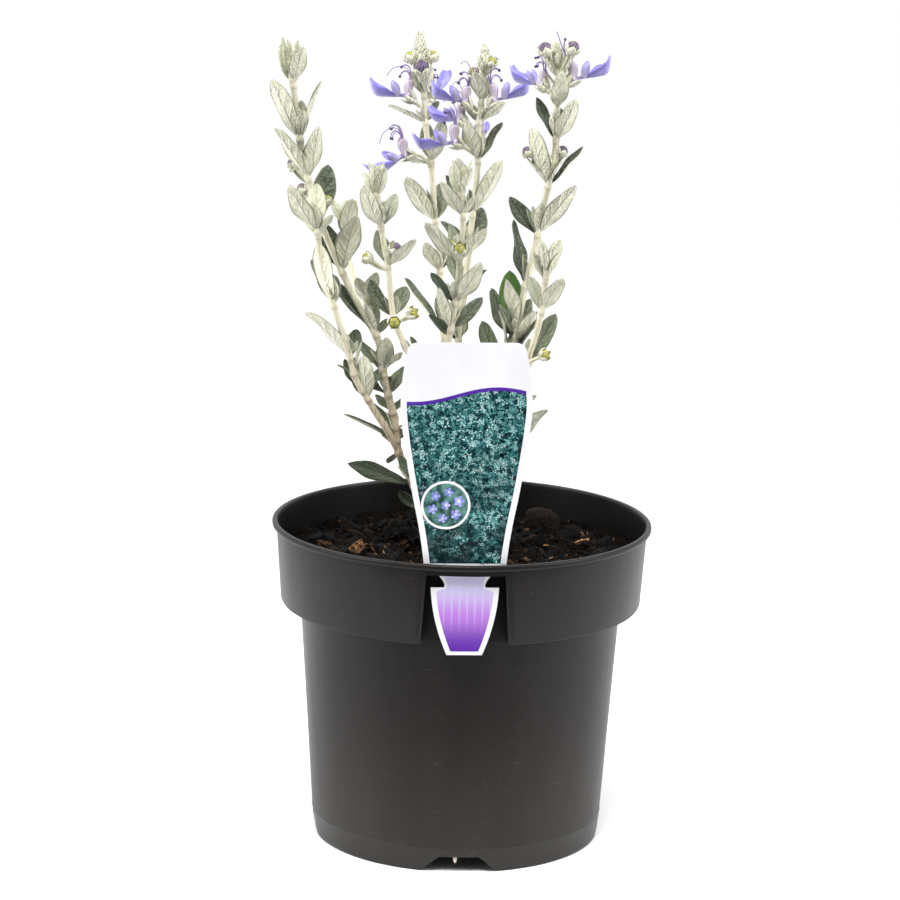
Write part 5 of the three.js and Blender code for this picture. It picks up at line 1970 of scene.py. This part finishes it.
@dataclass
class PlantLabel:
    """The plastic label: white, with a bare heading, a generic printed garden scene and a violet tail."""

    size: LabelSize = field(default_factory=LabelSize)
    border: float = 2.6
    tail_border: float = 2.3
    frame_inset: float = 0.15
    print_gap: float = 0.03
    picture: Pair = (40.5, 118.0)
    cameo: tuple[float, float, float] = (-8.5, 66.0, 10.5)
    side_points: int = 60
    crest_points: int = 31

    def half_outline(self) -> Array:
        """The right half of the outline, curved stretches as points.

        Returns:
            Points across and up, from the tip to the top.
        """
        points = [np.array(self.size.outline[0][:2], float)]
        for row in self.size.outline[1:]:
            start, end = points[-1], np.array(row[:2], float)
            if len(row) == 2:
                points.append(end)
                continue
            bend = np.array(row[2:], float)
            for t in np.linspace(0, 1, 13)[1:]:
                points.append((1 - t) ** 2 * start + 2 * t * (1 - t) * bend + t * t * end)
        return np.array(points)

    @staticmethod
    def whole(half: Array) -> Array:
        """An outline from its right half."""
        return np.vstack([half, half[::-1] * np.array([-1, 1])])

    def half_width(self, height: float) -> float:
        """Half the label's width at a height above its tip."""
        half = self.half_outline()
        return float(np.interp(height, half[:, 1], half[:, 0]))

    def stand(self, flat: Array, depth: float) -> Array:
        """Stands flat label points up in the pocket, at a depth in front of the label's middle.

        Args:
            flat: Points across and up.
            depth: How far in front they stand.

        Returns:
            The points in space.
        """
        lean = math.radians(self.size.lean)
        x = flat[:, 0] * math.cos(lean) + flat[:, 1] * math.sin(lean)
        z = flat[:, 1] * math.cos(lean) - flat[:, 0] * math.sin(lean)
        return np.stack([x, np.full(len(x), self.size.plane - depth), z + self.size.tip_height], axis=1)

    def sheet(self, name: str, flat: Array, depth: float, material: Material) -> Object:
        """A flat printed shape, as a very thin closed body.

        Args:
            name: The piece's name.
            flat: Its outline.
            depth: How far its face stands before the label's middle.
            material: Its print.

        Returns:
            The piece.
        """
        count = len(flat)
        points = np.vstack([self.stand(flat, depth), self.stand(flat, self.size.thickness / 2 - 0.05)])
        faces = [tuple(range(count)), tuple(range(2 * count - 1, count - 1, -1))]
        faces += [(k, k + count, (k + 1) % count + count, (k + 1) % count) for k in range(count)]
        sheet = plain_object(name, points, faces)
        turn_outwards(sheet)
        sheet.data.materials.append(material)
        return sheet

    def panel(self, low: float, high: float, crown: Callable[[float], float]) -> Array:
        """A printed panel that keeps the border, with a curved upper edge.

        Args:
            low, high: Its heights.
            crown: How far its upper edge rises, by place from -1 to 1.

        Returns:
            Its outline.
        """
        sides = []
        for hand in (1, -1):
            heights = np.linspace(low, high + crown(hand), self.side_points)
            sides.append(np.array([(hand * (self.half_width(h) - self.border), h) for h in heights]))
        right, left = sides
        edge = np.linspace(right[-1, 0], left[-1, 0], self.crest_points)
        top = np.array([(x, high + crown(x / right[-1, 0])) for x in edge])
        return np.vstack([right[:-1], top[:-1], left[::-1]])

    def surround(self, picture: Array) -> Array:
        """The white frame round a printed panel: along the panel, then back along the label's own outline.

        Args:
            picture: The panel's outline.

        Returns:
            The frame's outline.
        """
        half, low = self.half_outline(), picture[0, 1]
        right = np.vstack([[self.half_width(low), low], half[half[:, 1] > low + 1]])
        right[:, 0] -= self.frame_inset
        right[:, 1] = np.minimum(right[:, 1], half[-1, 1] - self.frame_inset)
        return np.vstack([picture, right * np.array([-1, 1]), right[::-1]])

    def crest(self, picture: Array, thick: float) -> Array:
        """A line of even thickness along a panel's upper edge."""
        edge = picture[self.side_points - 1:self.side_points - 1 + self.crest_points]
        return np.vstack([edge - np.array([0, thick * 0.4]), edge[::-1] + np.array([0, thick * 0.6])])

    @staticmethod
    def ring(centre: Pair, reach: Array) -> Array:
        """The outline of a round printed shape, from its reach at even angles."""
        x, y = np.cos(circle(len(reach))), np.sin(circle(len(reach)))
        return np.stack([centre[0] + reach * x, centre[1] + reach * y], axis=1)

    @staticmethod
    def sprig(leaves: int, length: float, width: float) -> Object:
        """A flat printed sprig: narrow leaves round a point, facing the reader.

        Args:
            leaves: How many leaves it has.
            length: How long they are.
            width: Half the width of each.

        Returns:
            The sprig.
        """
        points, faces = [], []
        for k in range(leaves):
            a = 2 * math.pi * k / leaves + 0.4 * (k % 2)
            d, w = np.array([math.cos(a), math.sin(a)]), np.array([-math.sin(a), math.cos(a)])
            reach = length * (0.75 + 0.25 * math.cos(3 * k))
            start = len(points)
            for p in (d * 0.1, d * reach * 0.5 - w * width, d * reach, d * reach * 0.5 + w * width):
                points.append((p[0], p[1], 0))
            faces.append((start + 3, start + 2, start + 1, start))
        return plain_object("sprig", np.array(points), faces)

    def build(self, tree: ScatterTree) -> None:
        """Builds the label and its print.

        Args:
            tree: The tree that scatters the printed sprigs.
        """
        outline = self.whole(self.half_outline())
        front = self.size.thickness / 2
        white = TintedFinish("white_plastic", srgb(236, 236, 239), srgb(230, 230, 234), 40, 0.3, 0.5, 0.02)
        frame_white = PrintFinish("frame_white", srgb(236, 236, 239), srgb(231, 231, 235), 40, 0.3, 0.5)
        body = self.sheet("label_body", outline, front, white.material())
        rear = self.stand(outline, -front)
        for index, point in enumerate(rear):
            body.data.vertices[len(outline) + index].co = Vector(point * MM)
        gap = self.print_gap
        ground = PrintFinish("teal_ground", srgb(20, 56, 60), srgb(6, 18, 24), 200)
        line = PrintFinish("violet_line", srgb(84, 44, 160), srgb(76, 38, 150), 60)
        low, high = self.picture

        def wave(x: float) -> float:
            """The picture's upper edge, a gentle wave."""
            return -5 + 3.2 * math.sin(2.2 * x + 0.4)

        picture = self.panel(low, high, wave)
        pieces = [
            body,
            self.sheet("picture_ground", picture, front + gap, ground.material()),
            self.sheet("picture_frame", self.surround(picture), front + 7 * gap, frame_white.material()),
            self.sheet("picture_line", self.crest(picture, 1.5), front + 8 * gap, line.material()),
        ]
        tail = self.whole(self._tail_half())
        pieces.append(self.sheet("tail_print", tail, front + gap, TailPrint().material()))
        pieces += self._foliage(tree, picture)
        pieces += self._cameo()
        for piece in pieces:
            keep(piece, Slot.LABEL, "label" if piece is body else None)

    def _tail_half(self) -> Array:
        """The right half of the tail's printed field."""
        side = [(self.half_width(h) - self.tail_border, h) for h in np.linspace(1.6, 28.0, 20)]
        return np.array([*side, (8.0, 29.5), (7.4, 31.5), (8.8, 34.5), (10.2, 36.4)])

    def _foliage(self, tree: ScatterTree, picture: Array) -> list[Object]:
        """The printed foliage, in three tones of sprigs over the picture's ground.

        Args:
            tree: The tree that scatters the sprigs.
            picture: The picture's outline.

        Returns:
            The three layers.
        """
        inset = picture * np.array([0.97, 1.0])
        inset[:, 1] = np.clip(inset[:, 1], self.picture[0] + 1.2, None)
        base = plain_object("picture_area", self.stand(inset, self.size.thickness / 2 + 0.1),
                            [tuple(range(len(inset)))])
        ink_low, ink_high = (self.size.tip_height + level for level in self.picture)
        sprigs = [self.sprig(5, 1.0, 0.16), self.sprig(7, 0.9, 0.12), self.sprig(3, 1.1, 0.2)]
        pieces = []
        for index, (name, light, dark, density, sizes) in enumerate((
                ("dark_sprigs", srgb(44, 104, 106), srgb(18, 60, 66), 420000.0, (1.5, 2.8)),
                ("teal_sprigs", srgb(112, 178, 176), srgb(50, 120, 124), 300000.0, (1.2, 2.4)),
                ("pale_sprigs", srgb(202, 236, 234), srgb(140, 202, 202), 150000.0, (0.9, 1.9)))):
            finish = InkFinish(f"{name}_ink", light, dark, ink_low, ink_high).material()
            layer = tree.scatter(name, base, sprigs, finish, density, 20 + index, sizes, 0.0)
            layer.data.transform(Matrix.Translation((0, -index * 0.03 * MM, 0)))
            pieces.append(layer)
        for shape in (base, *sprigs):
            bpy.data.objects.remove(shape)
        return pieces

    def _cameo(self) -> list[Object]:
        """A round cameo of small lilac flowers, ringed in white.

        Returns:
            Its pieces.
        """
        x, z, radius = self.cameo
        front = self.size.thickness / 2
        ring = PrintFinish("cameo_ring", srgb(250, 250, 250), srgb(240, 240, 244), 60, 0.35)
        ground = PrintFinish("cameo_ground", srgb(96, 140, 132), srgb(30, 62, 60), 420)
        petal = PrintFinish("cameo_petal", srgb(176, 182, 236), srgb(120, 126, 208), 700).material()
        heart = PrintFinish("cameo_heart", srgb(236, 232, 246), srgb(210, 206, 236), 700).material()
        disc = np.ones(48)
        petals = 0.45 + 0.55 * np.abs(np.cos(2.5 * circle(50))) ** 0.6
        outer, inner = self.ring((x, z), radius * disc), self.ring((x, z), (radius - 1.0) * disc)
        pieces = [self.sheet("cameo_ring", outer, front + 0.24, ring.material()),
                  self.sheet("cameo_ground", inner, front + 0.27, ground.material())]
        rng = np.random.default_rng(12)
        spots = [(0, 0)] + [(radius * 0.56 * math.cos(a), radius * 0.56 * math.sin(a))
                            for a in np.linspace(0.3, 0.3 + 2 * math.pi, 7)[:-1]]
        for index, (dx, dz) in enumerate(spots):
            centre = (x + dx, z + dz)
            size = rng.uniform(1.9, 2.5)
            flower, middle = self.ring(centre, size * petals), self.ring(centre, size * 0.22 * disc)
            pieces.append(self.sheet(f"cameo_flower_{index}", flower, front + 0.3, petal))
            pieces.append(self.sheet(f"cameo_heart_{index}", middle, front + 0.33, heart))
        return pieces


@dataclass(frozen=True)
class Studio:
    """Pale floor, soft lights and the camera at the photograph's viewing angle."""

    camera_place: Point = (-42.0, -1499.4, 506.4)
    yaw: float = 0.024
    pitch: float = 0.217
    roll: float = 0.021
    lens: float = 137.67
    sensor: float = 36.0
    front_glow: float = 0.08
    back_glow: float = 1.15
    glow_span: Pair = (-0.72, 0.3)
    floor_shade: float = 0.93
    floor_reach: float = 1700.0
    floor_front: float = 300.0
    lamps: tuple[tuple[str, Point, float, float], ...] = (
        ("left", (-1.5, -0.5, 1.0), 20, 1.0), ("right", (1.5, -0.5, 1.0), 22, 1.0),
        ("top", (-0.15, -0.9, 1.9), 40, 0.9),
    )

    def build(self) -> None:
        """Builds the whole stage."""
        bpy.context.scene.view_settings.view_transform = "Standard"
        self._camera()
        self._floor()
        self._lights()

    def _camera(self) -> None:
        """The camera, level with where the photograph was taken from."""
        forward = np.array([math.sin(self.yaw) * math.cos(self.pitch),
                            math.cos(self.yaw) * math.cos(self.pitch), -math.sin(self.pitch)])
        right = np.array([math.cos(self.yaw), -math.sin(self.yaw), 0])
        up = np.cross(right, forward)
        c, s = math.cos(self.roll), math.sin(self.roll)
        right, up = right * c + up * s, up * c - right * s
        camera = put("camera", bpy.data.cameras.new("camera"))
        rows = [[right[i], up[i], -forward[i], self.camera_place[i] * MM] for i in range(3)]
        camera.matrix_world = Matrix(rows + [[0, 0, 0, 1]])
        camera.data.lens = self.lens
        camera.data.sensor_width = self.sensor
        camera.data.clip_start = 0.01
        bpy.context.scene.camera = camera

    def _floor(self) -> None:
        """A large pale floor."""
        reach = self.floor_reach
        front = -self.floor_front
        corners = np.array([(-reach, front, 0), (reach, front, 0), (reach, reach, 0), (-reach, reach, 0)])
        floor = plain_object("floor", corners, [range(4)])
        pen = NodePen("pale_floor", 0.9, 0.2)
        pen.colour((self.floor_shade,) * 3)
        floor.data.materials.append(pen.material)

    def _lights(self) -> None:
        """Soft boxes above and on both sides, in a room that is bright behind and dim in front."""
        world = bpy.data.worlds.new("studio")
        bpy.context.scene.world = world
        world.use_nodes = True
        tree = world.node_tree
        background = tree.nodes["Background"]
        background.inputs["Color"].default_value = (1, 1, 1, 1)
        direction = tree.nodes.new("ShaderNodeTexCoord")
        parts = tree.nodes.new("ShaderNodeSeparateXYZ")
        shade = tree.nodes.new("ShaderNodeMapRange")
        for key, value in (("From Min", self.glow_span[0]), ("From Max", self.glow_span[1]),
                           ("To Min", self.front_glow), ("To Max", self.back_glow)):
            shade.inputs[key].default_value = value
        tree.links.new(direction.outputs["Generated"], parts.inputs[0])
        tree.links.new(parts.outputs["Y"], shade.inputs["Value"])
        seen = tree.nodes.new("ShaderNodeLightPath")
        plain = tree.nodes.new("ShaderNodeMix")
        plain.inputs["B"].default_value = 1.0
        tree.links.new(seen.outputs["Is Camera Ray"], plain.inputs["Factor"])
        tree.links.new(shade.outputs["Result"], plain.inputs["A"])
        tree.links.new(plain.outputs["Result"], background.inputs["Strength"])
        for name, place, power, size in self.lamps:
            lamp = put(name, bpy.data.lights.new(name, "AREA"))
            lamp.data.energy = power
            lamp.data.size = size
            lamp.location = place
            lamp.rotation_euler = (Vector((0, 0, 0.2)) - Vector(place)).to_track_quat("-Z", "Y").to_euler()


def main() -> None:
    """Builds every piece and the stage."""
    logging.basicConfig(level=logging.INFO, format="%(name)s %(message)s")
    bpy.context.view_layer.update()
    finishes = {name: finish.material() for name, finish in (
        ("leaf", LeafFinish()),
        ("stem", StemFinish()),
        ("felt", TintedFinish("felt_hair", srgb(240, 238, 224), srgb(222, 220, 200), 300, 0.9, 0.1)),
        ("petal", PetalFinish()),
        ("stamen", FilamentFinish()),
        ("lilac_bud", BudFinish("lilac_bud", srgb(150, 134, 154), srgb(92, 76, 104), srgb(160, 156, 106))),
        ("green_bud", BudFinish("green_bud", srgb(214, 216, 88), srgb(150, 144, 80), srgb(196, 194, 116))),
    )}
    pot = NurseryPot()
    pot.build(PotFinish().material())
    tree = ScatterTree("scatter_litter")
    PottingSoil().build(pot, tree)
    PlantLabel().build(tree)
    maker = FlowerMaker()
    for index, (name, branches) in enumerate(STEMS.items()):
        LeafyStem(name, branches, 40 + index, maker, finishes, tree).build()
    Studio().build()


if __name__ == "__main__":
    main()
